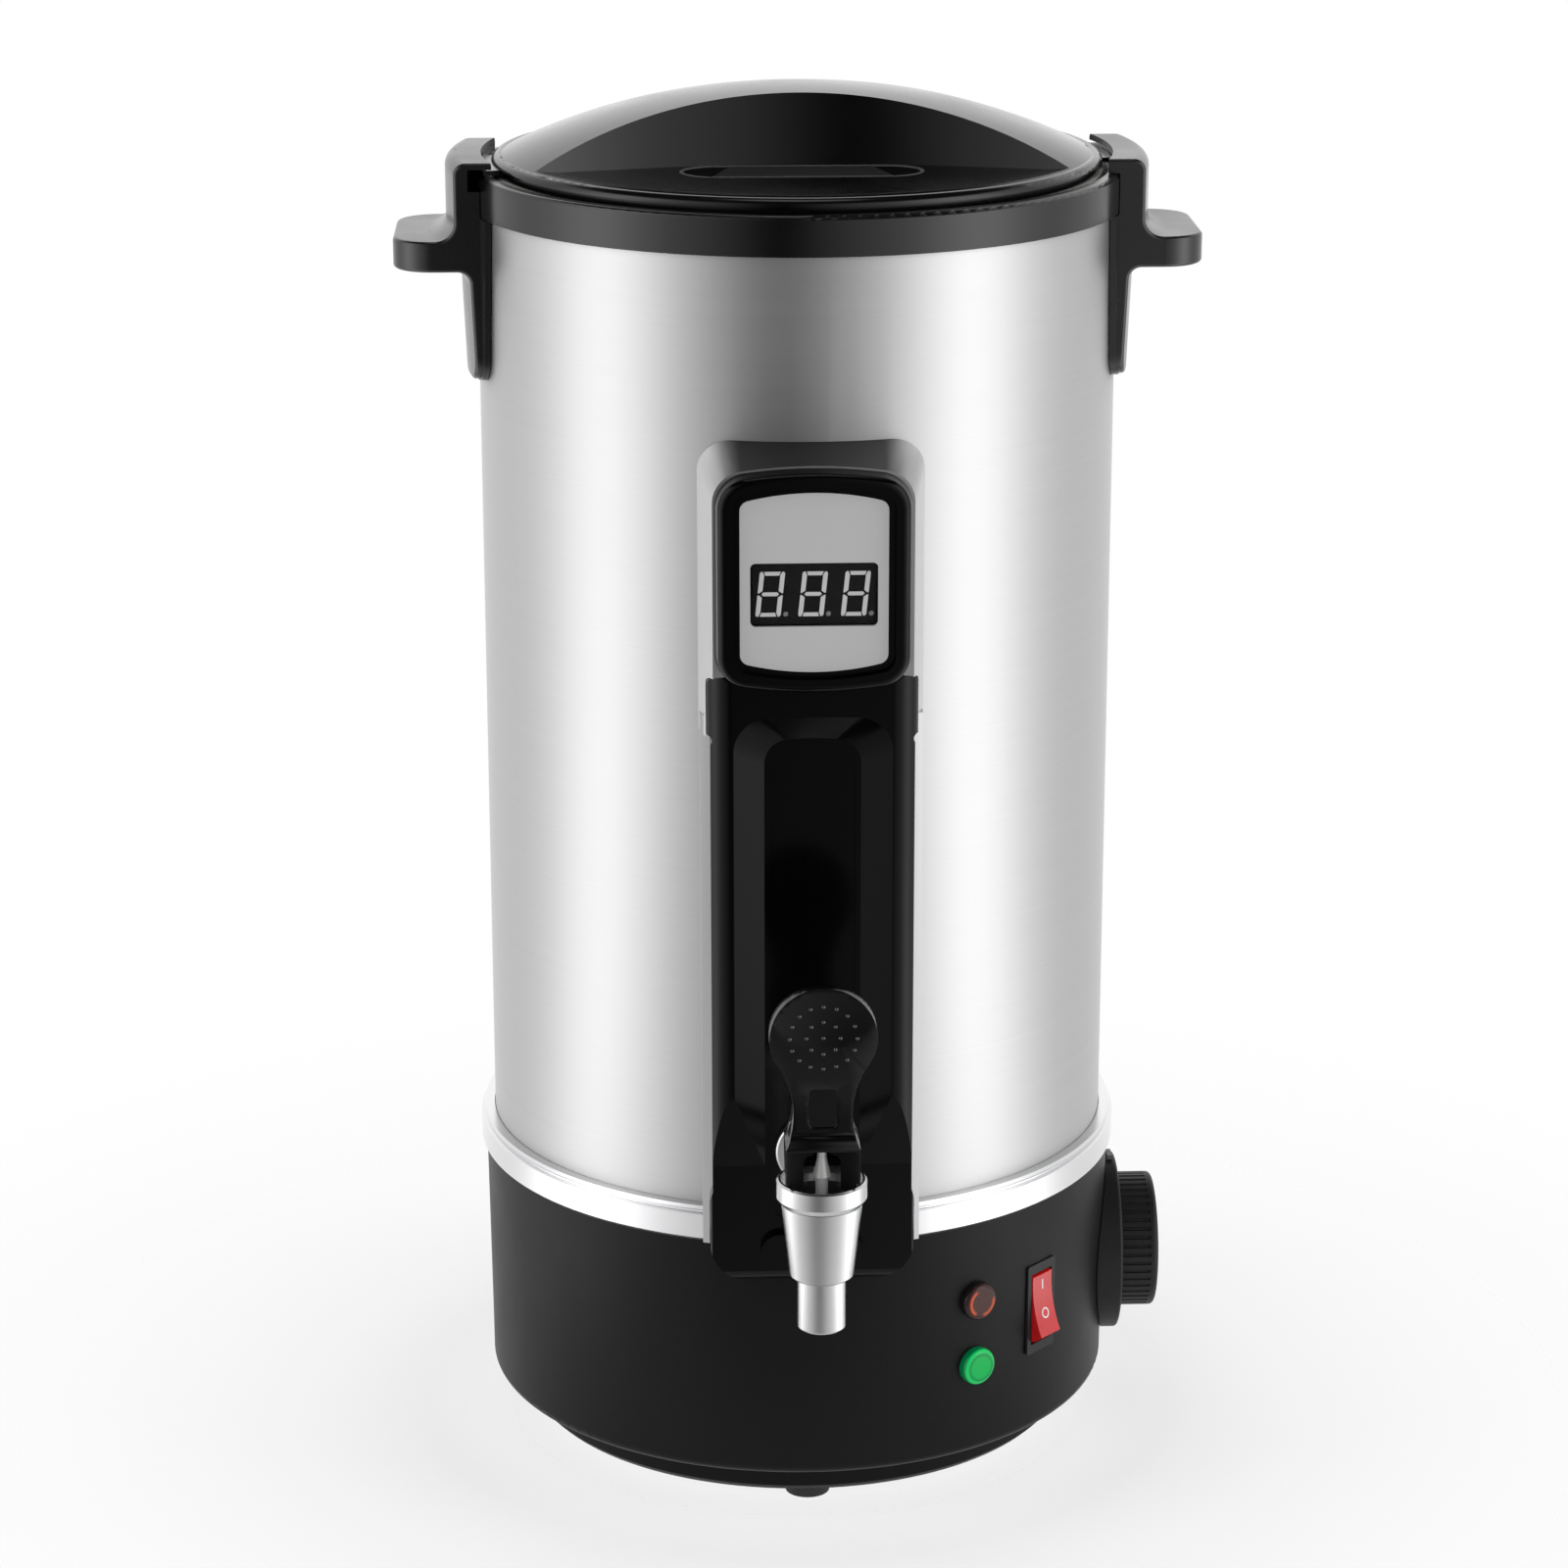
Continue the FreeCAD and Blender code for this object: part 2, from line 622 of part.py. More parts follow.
def lid():
    solid = lid_turned(0).cut(lid_scoops(0))
    neck = ring(LID_NECK_R - LID_WALL, LID_NECK_R, LID_BASE, LID_FLANGE_Z + 0.6)
    skirt = ring(LID_SKIRT_R - LID_SKIRT_T, LID_SKIRT_R, LID_BASE - LID_SKIRT_DEPTH,
                 LID_FLANGE_Z + 0.6)
    web = ring(LID_SKIRT_R - LID_SKIRT_T, LID_NECK_R, LID_BASE, LID_BASE + LID_WALL)
    hollow = lid_turned(LID_WALL).cut(lid_scoops(LID_WALL))
    hollow = hollow.cut(ring(LID_SKIRT_R - LID_SKIRT_T, LID_R + 5, 0, LID_FLANGE_Z + 0.6))
    solid = solid.fuse([neck, skirt, web] + lid_lugs()).cut(hollow)
    pocket = inset_stadium(INSET_LENGTH, INSET_WIDTH, SCOOP_FLOOR - INSET_T + 0.4, LID_TOP)
    return solid.cut(pocket).removeSplitter()


def lid_inset():
    """Plain plate let into the front scoop, with a raised edge."""
    low = SCOOP_FLOOR - INSET_T + 0.4
    plate = inset_stadium(INSET_LENGTH - SLIP, INSET_WIDTH - SLIP, low, low + INSET_T)
    well = inset_stadium(INSET_LENGTH - 2.4, INSET_WIDTH - 2.4, low + INSET_T - 0.4, LID_TOP)
    return plate.cut(well)


def lid_gasket():
    low = FLANGE_TOP + SEAT
    return ring(LID_SKIRT_R + SEAT, LID_R, low, low + GASKET_T)


# ---- base -------------------------------------------------------------------------------------
def base_band():
    """Polished ring between drum and base, with a small bead round its top edge."""
    inner = DRUM_R + SLIP
    return turned([
        (inner, BAND_LOW), (BAND_R - 1.0, BAND_LOW), (BAND_R, BAND_LOW + 1.0),
        (BAND_R, BAND_TOP - 2.6), (BAND_R - BAND_BEAD, BAND_TOP - 2.2),
        (BAND_R - BAND_BEAD, BAND_TOP - 1.6), (BAND_R - 0.7, BAND_TOP - 0.9),
        (BAND_R - 1.3, BAND_TOP), (inner, BAND_TOP)])


def base_shell():
    """Pressed base casing, open for the controls, with a ledge for the drum and a lip below."""
    ledge_r = SHELL_TOP_R - SHELL_LEDGE
    solid = turned([
        (SHELL_LOW_R - SHELL_LIP, SHELL_LOW), (SHELL_LOW_R, SHELL_LOW), (SHELL_TOP_R, SHELL_HIGH),
        (ledge_r, SHELL_HIGH), (ledge_r, SHELL_HIGH - SHELL_WALL),
        (SHELL_BORE, SHELL_HIGH - SHELL_WALL),
        (SHELL_LOW_R - SHELL_WALL, SHELL_LOW + SHELL_WALL),
        (SHELL_LOW_R - SHELL_LIP, SHELL_LOW + SHELL_WALL)])
    solid = solid.makeFillet(SHELL_FOOT_ROUND, level_arcs(solid, SHELL_LOW, SHELL_LOW_R))
    inside = level_arcs(solid, SHELL_LOW + SHELL_WALL, SHELL_LOW_R - SHELL_WALL)
    solid = solid.makeFillet(SHELL_FOOT_ROUND - SHELL_WALL, inside)
    cuts = []
    switch = block(DRUM_R - 20, DRUM_R + 20, -SWITCH_BODY_W / 2 - SLIP, SWITCH_BODY_W / 2 + SLIP,
                   SWITCH_Z - SWITCH_BODY_H / 2 - SLIP, SWITCH_Z + SWITCH_BODY_H / 2 + SLIP)
    cuts.append(at_azimuth(switch, SWITCH_AZ))
    for height in (RED_LAMP_Z, GREEN_LAMP_Z):
        hole = rod(V(DRUM_R - 20, 0, height), X_AXIS, LAMP_BODY_R + FIT, 40)
        cuts.append(at_azimuth(hole, LAMP_AZ))
    cuts.append(rod(V(DRUM_R - 20, 0, KNOB_Z), X_AXIS, SPINDLE_R + 2, 40))
    inlet = block(-INLET_BODY_W / 2 - SLIP, INLET_BODY_W / 2 + SLIP, DRUM_R - 20, DRUM_R + 20,
                  INLET_Z - INLET_BODY_H / 2 - SLIP, INLET_Z + INLET_BODY_H / 2 + SLIP)
    cuts.append(inlet)
    for start in base_screw_places():
        cuts.append(rod(start - V(0, 0, 20), Z_AXIS, BASE_SCREW_R + FIT, 40))
    return solid.cut(cuts)


def base_screw_places():
    """Four screws that hold the pan's flange to the casing's lip, between the feet."""
    middle = (PAN_R + PAN_FLANGE + SHELL_LOW_R - SHELL_LIP) / 2
    places = []
    for index in range(4):
        angle = math.radians(45 + 90 * index)
        places.append(V(middle * math.cos(angle), middle * math.sin(angle), SHELL_LOW))
    return places


def base_screws():
    screws = []
    for start in base_screw_places():
        screws.append(screw(start, Z_AXIS, BASE_SCREW_R, BASE_SCREW_L, BASE_HEAD_R, SMALL_HEAD_H))
    return Part.makeCompound(screws)


def foot_places():
    places = []
    for index in range(FEET):
        angle = math.radians(-90 + 360 / FEET * index)
        places.append(V(FOOT_CIRCLE * math.cos(angle), FOOT_CIRCLE * math.sin(angle), 0))
    return places


def base_pan():
    """Bottom cover: a shallow pan whose flange lies on the casing's lip."""
    rim = PAN_R + PAN_FLANGE
    solid = turned([
        (0, FOOT_HEIGHT), (PAN_R - 2.0, FOOT_HEIGHT), (PAN_R, FOOT_HEIGHT + 2.0),
        (PAN_R, PAN_RIM_Z), (rim, PAN_RIM_Z), (rim, PAN_RIM_Z + PAN_WALL),
        (PAN_R - PAN_WALL, PAN_RIM_Z + PAN_WALL), (PAN_R - PAN_WALL, PAN_FLOOR), (0, PAN_FLOOR)])
    cuts = [rod(p, Z_AXIS, FOOT_SCREW_R + FIT, 20) for p in foot_places()]
    cuts += [rod(p, Z_AXIS, BASE_SCREW_R + FIT, 20) for p in base_screw_places()]
    return solid.cut(cuts)


def feet():
    """Rubber feet, slightly tapered, each hollowed from below for its screw."""
    solids = []
    for place in foot_places():
        foot = Part.makeCone(FOOT_R - FOOT_TAPER, FOOT_R, FOOT_HEIGHT, place, Z_AXIS)
        well = rod(place, Z_AXIS, FOOT_WELL_R, FOOT_WELL_DEPTH)
        hole = rod(place, Z_AXIS, FOOT_SCREW_R + FIT, FOOT_HEIGHT + 1)
        solids.append(foot.cut([well, hole]))
    return Part.makeCompound(solids)


def foot_screws():
    screws = []
    for place in foot_places():
        start = place + V(0, 0, FOOT_WELL_DEPTH)
        screws.append(screw(start, Z_AXIS, FOOT_SCREW_R, FOOT_SCREW_L, FOOT_HEAD_R, SMALL_HEAD_H))
    return Part.makeCompound(screws)


# ---- heating ----------------------------------------------------------------------------------
def element_ends():
    """Where the two ends of the heating tube turn down."""
    ends = []
    for side in (-1, 1):
        angle = math.radians(90 + side * ELEMENT_GAP / 2)
        ends.append(V(ELEMENT_CIRCLE * math.cos(angle), ELEMENT_CIRCLE * math.sin(angle), PLATE_LOW))
    return ends


def heat_shield():
    """Disc under the heater that keeps the wiring cool, held under the casing's ledge."""
    solid = rod(V(0, 0, SHIELD_TOP - SHIELD_T), Z_AXIS, SHELL_BORE - 4, SHIELD_T)
    holes = [rod(V(0, 0, SHIELD_TOP - 10), Z_AXIS, CUTOUT_R + 3, 20)]
    for end in element_ends():
        holes.append(rod(end, Z_AXIS * -1, ELEMENT_TAIL_R + 1.0, ELEMENT_TAIL_L))
    return solid.cut(holes)


def post_places():
    places = []
    for index in range(POSTS):
        angle = math.radians(30 + 360 / POSTS * index)
        places.append(V(POST_CIRCLE * math.cos(angle), POST_CIRCLE * math.sin(angle), SHIELD_TOP))
    return places


def heater_posts():
    """Spacers that carry the heater plate, and the pot on it, above the shield."""
    height = PLATE_LOW - SHIELD_TOP
    return Part.makeCompound([rod(p, Z_AXIS, POST_R, height) for p in post_places()])


def heater_plate():
    """Cast plate under the pot, grooved for the heating tube."""
    solid = rod(V(0, 0, PLATE_LOW), Z_AXIS, PLATE_R, PLATE_T)
    top = [e for e in solid.Edges if abs(e.CenterOfMass.z - PLATE_LOW) < 1e-6]
    solid = solid.makeFillet(2.0, top)
    groove = Part.makeTorus(ELEMENT_CIRCLE, ELEMENT_R + FIT, V(0, 0, PLATE_LOW), Z_AXIS)
    return solid.cut(groove)


def heating_element():
    """Tubular heater: an open ring in the plate's groove, its two ends turned down."""
    tube = Part.makeTorus(ELEMENT_CIRCLE, ELEMENT_R, V(0, 0, PLATE_LOW), Z_AXIS, -180, 180,
                          360 - ELEMENT_GAP)
    tube.rotate(ORIGIN, Z_AXIS, 90 + ELEMENT_GAP / 2)
    pieces = []
    for end in element_ends():
        pieces.append(Part.makeSphere(ELEMENT_R, end))
        pieces.append(rod(end, Z_AXIS * -1, ELEMENT_TAIL_R, ELEMENT_TAIL_L))
    return tube.fuse(pieces).removeSplitter()


def thermal_cutout():
    """Snap-disc cut-out clipped under the middle of the plate."""
    body = rod(V(0, 0, PLATE_LOW - 7), Z_AXIS, CUTOUT_R - 3, 7)
    flange = rod(V(0, 0, PLATE_LOW - 1.2), Z_AXIS, CUTOUT_R, 1.2)
    tabs = [block(x - 0.4, x + 0.4, -3, 3, PLATE_LOW - 15, PLATE_LOW - 7) for x in (-5, 5)]
    return body.fuse([flange] + tabs).removeSplitter()


def temperature_probe():
    """Display's sensor: a capped tube under the plate, pointing at the outlet."""
    tube = rod(V(0, -PROBE_Y, PLATE_LOW - PROBE_R), Y_AXIS, PROBE_R, PROBE_L)
    ends = [e for e in tube.Edges if abs(e.CenterOfMass.y + PROBE_Y) < 1e-6]
    return tube.makeFillet(PROBE_R * 2 / 3, ends)


def terminal_block():
    solid = block(-TERMINAL_W / 2, TERMINAL_W / 2, TERMINAL_Y - TERMINAL_D / 2,
                  TERMINAL_Y + TERMINAL_D / 2, PAN_FLOOR, PAN_FLOOR + TERMINAL_H)
    wells = []
    for index in range(TERMINAL_POLES):
        x = TERMINAL_PITCH * (index - (TERMINAL_POLES - 1) / 2)
        for y in (TERMINAL_Y - TERMINAL_ROW / 2, TERMINAL_Y + TERMINAL_ROW / 2):
            wells.append(rod(V(x, y, PAN_FLOOR + TERMINAL_FLOOR), Z_AXIS, TERMINAL_WELL_R, TERMINAL_H))
    return rounded_edges(solid, Z_AXIS, 1.5).cut(wells)


# ---- front housing ----------------------------------------------------------------------------
def drum_clearance():
    """Everything that the housing must stay in front of: drum, band and casing."""
    return turned([
        (0, 0), (SHELL_LOW_R + SEAT, 0), (SHELL_TOP_R + SEAT, BAND_LOW), (BAND_R + SEAT, BAND_LOW),
        (BAND_R + SEAT, BAND_TOP + SEAT), (DRUM_R + SLIP, BAND_TOP + SEAT),
        (DRUM_R + SLIP, COLLAR_LOW), (0, COLLAR_LOW)])


def head_opening():
    return arched_prism(BEZEL_HALF - OPENING_SIDE, BEZEL_LOW + OPENING_END, BEZEL_TOP - OPENING_END,
                        HEAD_ARCH, OPENING_CORNER, DRUM_R - 15, HEAD_FRONT_Y + 5)


def shoulder_room():
    """Room beside the bezel's foot for the lower cover's shoulders, in front of the frame's plate."""
    room = arched_prism(SHOULDER_HALF + SLIP, NOTCH_Z - 20, COVER_TOP + SLIP, 1.0,
                        SHOULDER_CORNER + SLIP, DRUM_R - 9, HEAD_FRONT_Y + 5)
    return room.cut(rod(ORIGIN, Z_AXIS, FRAME_R, COVER_TOP + 10))


def housing_frame():
    """Bright frame: a bevelled surround for the display that runs down as two side strips."""
    strip = ring(DRUM_R - 10, FRAME_R, BAND_LOW, NOTCH_Z + 6)
    strip = strip.common(block(-FRAME_HALF, FRAME_HALF, -150, 0, 0, 600))
    low = NOTCH_Z - HEAD_CORNER - 3
    head = arched_loft(
        (HEAD_HALF, low, HEAD_TOP, HEAD_ARCH * 0.6, HEAD_CORNER, DRUM_R - 9),
        (BEZEL_HALF + HEAD_LEDGE, low, BEZEL_TOP + HEAD_LEDGE, HEAD_ARCH, HEAD_CORNER - 2, HEAD_FRONT_Y))
    head = head.cut([block(-60, 60, -200, 0, 0, NOTCH_Z), shoulder_room()])
    solid = strip.fuse(head).cut([drum_clearance(), head_opening()])
    cuts = [rod(V(0, -DRUM_R - 15, TAP_Z), Y_AXIS, SHANK_R + FIT, 30)]
    for x, height in HOUSING_SCREWS:
        direction = housing_screw_axis(x)
        start = direction * (DRUM_R - 2) + V(0, 0, height)
        cuts.append(rod(start, direction, HOUSING_SCREW_R + FIT, 2 + HOUSING_SCREW_L - DRUM_WALL + SLIP))
    return solid.cut(cuts).removeSplitter()


def housing_screws():
    screws = []
    for x, height in HOUSING_SCREWS:
        direction = housing_screw_axis(x)
        start = direction * math.sqrt(DRUM_BORE ** 2 - HOUSING_HEAD_R ** 2) + V(0, 0, height)
        screws.append(screw(start, direction, HOUSING_SCREW_R, HOUSING_SCREW_L, HOUSING_HEAD_R,
                            SMALL_HEAD_H))
    return Part.makeCompound(screws)


def display_bezel():
    """Black surround that stands in the frame's opening and holds the display."""
    body = arched_loft(
        (BEZEL_HALF, BEZEL_LOW, BEZEL_TOP, HEAD_ARCH, 10.5, HEAD_FRONT_Y),
        (BEZEL_HALF - BEZEL_TAPER, BEZEL_LOW + 1, BEZEL_TOP - 1, HEAD_ARCH, 9.5, BEZEL_FRONT_Y))
    front = [e for e in body.Edges if abs(e.CenterOfMass.y + BEZEL_FRONT_Y) < 0.02]
    body = body.makeFillet(2.4, front)
    neck = arched_prism(BEZEL_HALF - OPENING_SIDE - SLIP, BEZEL_LOW + OPENING_END + SLIP,
                        BEZEL_TOP - OPENING_END - SLIP, HEAD_ARCH, OPENING_CORNER - SLIP,
                        FRAME_R - NECK_SINK, HEAD_FRONT_Y)
    seat = arched_prism(LABEL_HALF + LABEL_SEAT, LABEL_LOW - LABEL_SEAT, LABEL_TOP + LABEL_SEAT,
                        HEAD_ARCH, 4.6, LABEL_Y - 0.4, BEZEL_FRONT_Y + 1)
    bed = arched_prism(LABEL_HALF + SLIP, LABEL_LOW - SLIP, LABEL_TOP + SLIP, HEAD_ARCH, 3.4,
                       LABEL_Y - LABEL_T, BEZEL_FRONT_Y + 1)
    module = block(-MODULE_W / 2 - SLIP, MODULE_W / 2 + SLIP, -BEZEL_FRONT_Y, -90,
                   WINDOW_Z - MODULE_H / 2 - SLIP, WINDOW_Z + MODULE_H / 2 + SLIP)
    back = block(-BOARD_W / 2 - SLIP, BOARD_W / 2 + SLIP, -LABEL_Y + 4, -90,
                 WINDOW_Z - BOARD_H / 2 - SLIP, WINDOW_Z + BOARD_H / 2 + SLIP)
    return body.fuse(neck).cut([seat, bed, module, back, drum_clearance()]).removeSplitter()


def window_block(width, height, y_back, y_front, corner):
    slab = block(-width / 2, width / 2, -y_front, -y_back, WINDOW_Z - height / 2,
                 WINDOW_Z + height / 2)
    return rounded_edges(slab, Y_AXIS, corner)


def label_panel():
    """Bare grey fascia with an opening for the display."""
    plate = arched_prism(LABEL_HALF, LABEL_LOW, LABEL_TOP, HEAD_ARCH, 3.2, LABEL_Y - LABEL_T, LABEL_Y)
    opening = window_block(WINDOW_W + SLIP, WINDOW_H + SLIP, LABEL_Y - 5, LABEL_Y + 5, 1.6)
    return plate.cut(opening)


def display_window():
    return window_block(WINDOW_W, WINDOW_H, LABEL_Y - LABEL_T, LABEL_Y - 0.3, 1.5)


def display_module():
    """Three-digit light module behind the window."""
    front = LABEL_Y - LABEL_T - 0.1
    return window_block(MODULE_W, MODULE_H, front - MODULE_D, front, 0.6)


def display_board():
    front = LABEL_Y - LABEL_T - 0.1 - MODULE_D
    return window_block(BOARD_W, BOARD_H, front - BOARD_T, front, 1.0)


def cover_body():
    """Outer form of the lower cover: its front, plan and side views crossed."""
    low = arched_prism(SHOULDER_HALF, COVER_LOW, RIDGE_END, 0.6, COVER_CORNER - 1, DRUM_R - 9,
                       COVER_FLOOR_Y)
    low = low.fuse(block(-COVER_HALF, COVER_HALF, -COVER_FLOOR_Y, -DRUM_R + 9, RIDGE_END - 20,
                         NOTCH_Z))
    raised = arched_prism(COVER_HALF, RIDGE_END - 20, COVER_TOP - 4, 0.6, 6, DRUM_R - 9,
                          COVER_RIDGE_Y)
    shoulder = arched_prism(SHOULDER_HALF, NOTCH_Z - 14, COVER_TOP, 1.0, SHOULDER_CORNER, DRUM_R - 9,
                            COVER_RIDGE_Y)
    shoulder = shoulder.common(block(-60, 60, -200, 0, NOTCH_Z, 400))
    raised = raised.fuse(shoulder)
    raised = raised.cut(block(-60, 60, -200, 0, 0, RIDGE_END))
    return low.fuse(raised).removeSplitter()


def cover_limits():
    """Rounds the cover's long front edges and its top and foot."""
    deep = DRUM_R - 20
    side = SHOULDER_HALF + 0.4
    plan = face_of([
        Part.makeLine(V(-side, -deep, 0), V(-side, -COVER_RIDGE_Y + 9, 0)),
        Part.Arc(V(-side, -COVER_RIDGE_Y + 9, 0), V(-side + 2.2, -COVER_RIDGE_Y + 2.6, 0),
                 V(-side + 8.5, -COVER_RIDGE_Y, 0)).toShape(),
        Part.makeLine(V(-side + 8.5, -COVER_RIDGE_Y, 0), V(side - 8.5, -COVER_RIDGE_Y, 0)),
        Part.Arc(V(side - 8.5, -COVER_RIDGE_Y, 0), V(side - 2.2, -COVER_RIDGE_Y + 2.6, 0),
                 V(side, -COVER_RIDGE_Y + 9, 0)).toShape(),
        Part.makeLine(V(side, -COVER_RIDGE_Y + 9, 0), V(side, -deep, 0)),
        Part.makeLine(V(side, -deep, 0), V(-side, -deep, 0))])
    plan = plan.extrude(V(0, 0, 600))
    side_view = face_of([
        Part.makeLine(V(-60, -deep, COVER_LOW), V(-60, -COVER_FLOOR_Y + 5, COVER_LOW)),
        Part.Arc(V(-60, -COVER_FLOOR_Y + 5, COVER_LOW),
                 V(-60, -COVER_FLOOR_Y + 1.4, COVER_LOW + 1.5),
                 V(-60, -COVER_FLOOR_Y, COVER_LOW + 6)).toShape(),
        Part.makeLine(V(-60, -COVER_FLOOR_Y, COVER_LOW + 6), V(-60, -COVER_FLOOR_Y, RIDGE_END)),
        Part.makeLine(V(-60, -COVER_FLOOR_Y, RIDGE_END), V(-60, -COVER_RIDGE_Y, RIDGE_END + RIDGE_FADE)),
        Part.makeLine(V(-60, -COVER_RIDGE_Y, RIDGE_END + RIDGE_FADE),
                      V(-60, -COVER_RIDGE_Y, COVER_TOP - SHOULDER_ROUND)),
        Part.Arc(V(-60, -COVER_RIDGE_Y, COVER_TOP - SHOULDER_ROUND),
                 V(-60, -COVER_RIDGE_Y + 0.3 * SHOULDER_ROUND, COVER_TOP - 0.3 * SHOULDER_ROUND),
                 V(-60, -COVER_RIDGE_Y + SHOULDER_ROUND, COVER_TOP)).toShape(),
        Part.makeLine(V(-60, -COVER_RIDGE_Y + SHOULDER_ROUND, COVER_TOP), V(-60, -deep, COVER_TOP)),
        Part.makeLine(V(-60, -deep, COVER_TOP), V(-60, -deep, COVER_LOW))])
    return plan.common(side_view.extrude(V(120, 0, 0)))


def lower_cover():
    """Long black cover over the tap's shank: side ridges, sloped channel and an arched recess."""
    solid = cover_body().common(cover_limits())
    channel = arched_loft(
        (CHANNEL_FLOOR_HALF, COVER_LOW - 20, CHANNEL_TOP - CHANNEL_TOP_SLOPE, 1.0, 8, COVER_FLOOR_Y),
        (CHANNEL_HALF + 0.2, COVER_LOW - 20, CHANNEL_TOP, 1.0, 11, COVER_RIDGE_Y + 0.1))
    recess = arched_prism(ARCH_HALF, ARCH_LOW, ARCH_TOP, 1.0, ARCH_HALF - 1,
                          COVER_FLOOR_Y - ARCH_DEPTH, COVER_FLOOR_Y + 9)
    boss = arched_prism(BOSS_HALF, COVER_LOW + 5, BOSS_TOP, 1.6, 6, COVER_FLOOR_Y - 3, BOSS_Y)
    boss = boss.cut(block(-60, 60, -COVER_FLOOR_Y + 6, 0, 0, 300))
    notches = [rod(V(x, -130, NOTCH_Z), Y_AXIS, NOTCH_R, 40) for x in (-SHOULDER_HALF, SHOULDER_HALF)]
    shank = rod(V(0, -DRUM_R - 15, TAP_Z), Y_AXIS, SHANK_R + FIT, 30)
    frame = ring(0.5, FRAME_R + SLIP / 2, BAND_LOW - SLIP, COVER_TOP + 10)
    solid = solid.cut([channel, recess] + notches).fuse(boss)
    return solid.cut([shank, frame, head_opening(), drum_clearance()]).removeSplitter()


# ---- tap --------------------------------------------------------------------------------------
def moved(solid, y=-TAP_Y):
    """Set a piece that is turned about Z at the tap's own axis."""
    solid.translate(V(0, y, 0))
    return solid


def tap_body():
    """Plated casting: threaded shank, tapered cup and spout, bored through to the valve seat."""
    slope = (CUP_TOP_R - CUP_LOW_R) / (RING_LOW - CUP_LOW)
    cup = turned([
        (0, SPOUT_END), (SPOUT_R - 0.5, SPOUT_END), (SPOUT_R, SPOUT_END + 0.5), (SPOUT_R, CUP_LOW),
        (CUP_LOW_R - 1.2, CUP_LOW), (CUP_LOW_R, CUP_LOW + 1.0),
        (CUP_LOW_R + slope * (RING_LOW - CUP_LOW - 1.0), RING_LOW), (NECK_R, RING_LOW),
        (NECK_R, BONNET_Z), (0, BONNET_Z)])
    cup = moved(cup)
    flange_back = COVER_FLOOR_Y - ARCH_DEPTH + SLIP
    inner_end = POT_R - WASHER_T - NUT_T - 4.0
    shank = rod(V(0, -flange_back, TAP_Z), Y_AXIS, SHANK_R, flange_back - inner_end)
    arm = rod(V(0, -TAP_Y + 4, TAP_Z), Y_AXIS, ARM_R, TAP_Y - 4 - flange_back)
    flange = rod(V(0, -flange_back - FLANGE_T, TAP_Z), Y_AXIS, FLANGE_R, FLANGE_T)
    rim = [e for e in flange.Edges if abs(e.CenterOfMass.y + flange_back + FLANGE_T) < 1e-6]
    flange = flange.makeFillet(1.2, rim)
    chamber = moved(turned([
        (0, SEAT_Z), (SPOUT_BORE + 1.6, SEAT_Z), (NECK_R - CUP_WALL, SEAT_Z + 6),
        (NECK_R - CUP_WALL, BONNET_Z + 1), (0, BONNET_Z + 1)]))
    outlet = moved(rod(V(0, 0, SPOUT_END - 1), Z_AXIS, SPOUT_BORE, SEAT_Z - SPOUT_END + 2))
    way = rod(V(0, -TAP_Y, TAP_Z), Y_AXIS, SHANK_BORE, TAP_Y - inner_end + 1)
    return cup.fuse([shank, arm, flange]).cut([chamber, outlet, way]).removeSplitter()


def tap_ring():
    """Plated ring nut that clamps the bonnet on the cup."""
    lip_low = BONNET_Z + BONNET_T
    solid = turned([
        (NECK_R + FIT, RING_LOW), (RING_R - RING_CHAMFER, RING_LOW),
        (RING_R, RING_LOW + RING_CHAMFER * 1.3),
        (RING_R, RING_TOP - 0.6), (RING_R - 0.6, RING_TOP), (RING_BORE, RING_TOP),
        (RING_BORE, lip_low + RING_LIP_T), (RING_LIP_R, lip_low + RING_LIP_T),
        (RING_LIP_R, lip_low), (NECK_R + FIT, lip_low)])
    return moved(solid)


def tap_bonnet():
    """Black guide disc on top of the cup, with a bush for the stem."""
    solid = turned([
        (STEM_R + FIT, BONNET_Z - 3), (STEM_R + 2.2, BONNET_Z - 3), (STEM_R + 2.2, BONNET_Z),
        (NECK_R, BONNET_Z), (NECK_R, BONNET_Z + BONNET_T), (STEM_R + FIT, BONNET_Z + BONNET_T)])
    return moved(solid)


def tap_stem():
    """Valve stem with its cone and the eye for the lever's pin."""
    low = SEAT_Z + 3.0
    stem = turned([
        (0, low), (STEM_R, low), (STEM_R, STEM_CONE_LOW), (STEM_CONE_R, STEM_CONE_LOW + 0.2),
        (STEM_CONE_R - 0.3, STEM_CONE_LOW + 1.4), (STEM_TIP_R, STEM_CONE_TOP),
        (STEM_TIP_R, PIN_Z), (0, PIN_Z)])
    eye = rod(V(-EYE_W / 2, 0, PIN_Z), X_AXIS, EYE_R, EYE_W)
    hole = rod(V(-EYE_W, 0, PIN_Z), X_AXIS, PIN_R, 2 * EYE_W)
    return moved(stem.fuse(eye).cut(hole).removeSplitter())


def tap_seat_cup():
    """Silicone plug that closes the outlet, with the skirt that presses it shut."""
    solid = turned([
        (0, SEAT_Z + SEAT), (SPOUT_BORE + 1.0, SEAT_Z + SEAT), (SPOUT_BORE + 1.6, SEAT_Z + 2.2),
        (4.6, SEAT_Z + 5), (4.6, SEAT_Z + 8), (7.6, SEAT_Z + 14), (7.6, SEAT_Z + 16),
        (6.4, SEAT_Z + 16), (3.4, SEAT_Z + 9), (3.4, SEAT_Z + 6), (STEM_R, SEAT_Z + 5),
        (STEM_R, SEAT_Z + 3), (0, SEAT_Z + 3)])
    return moved(solid)


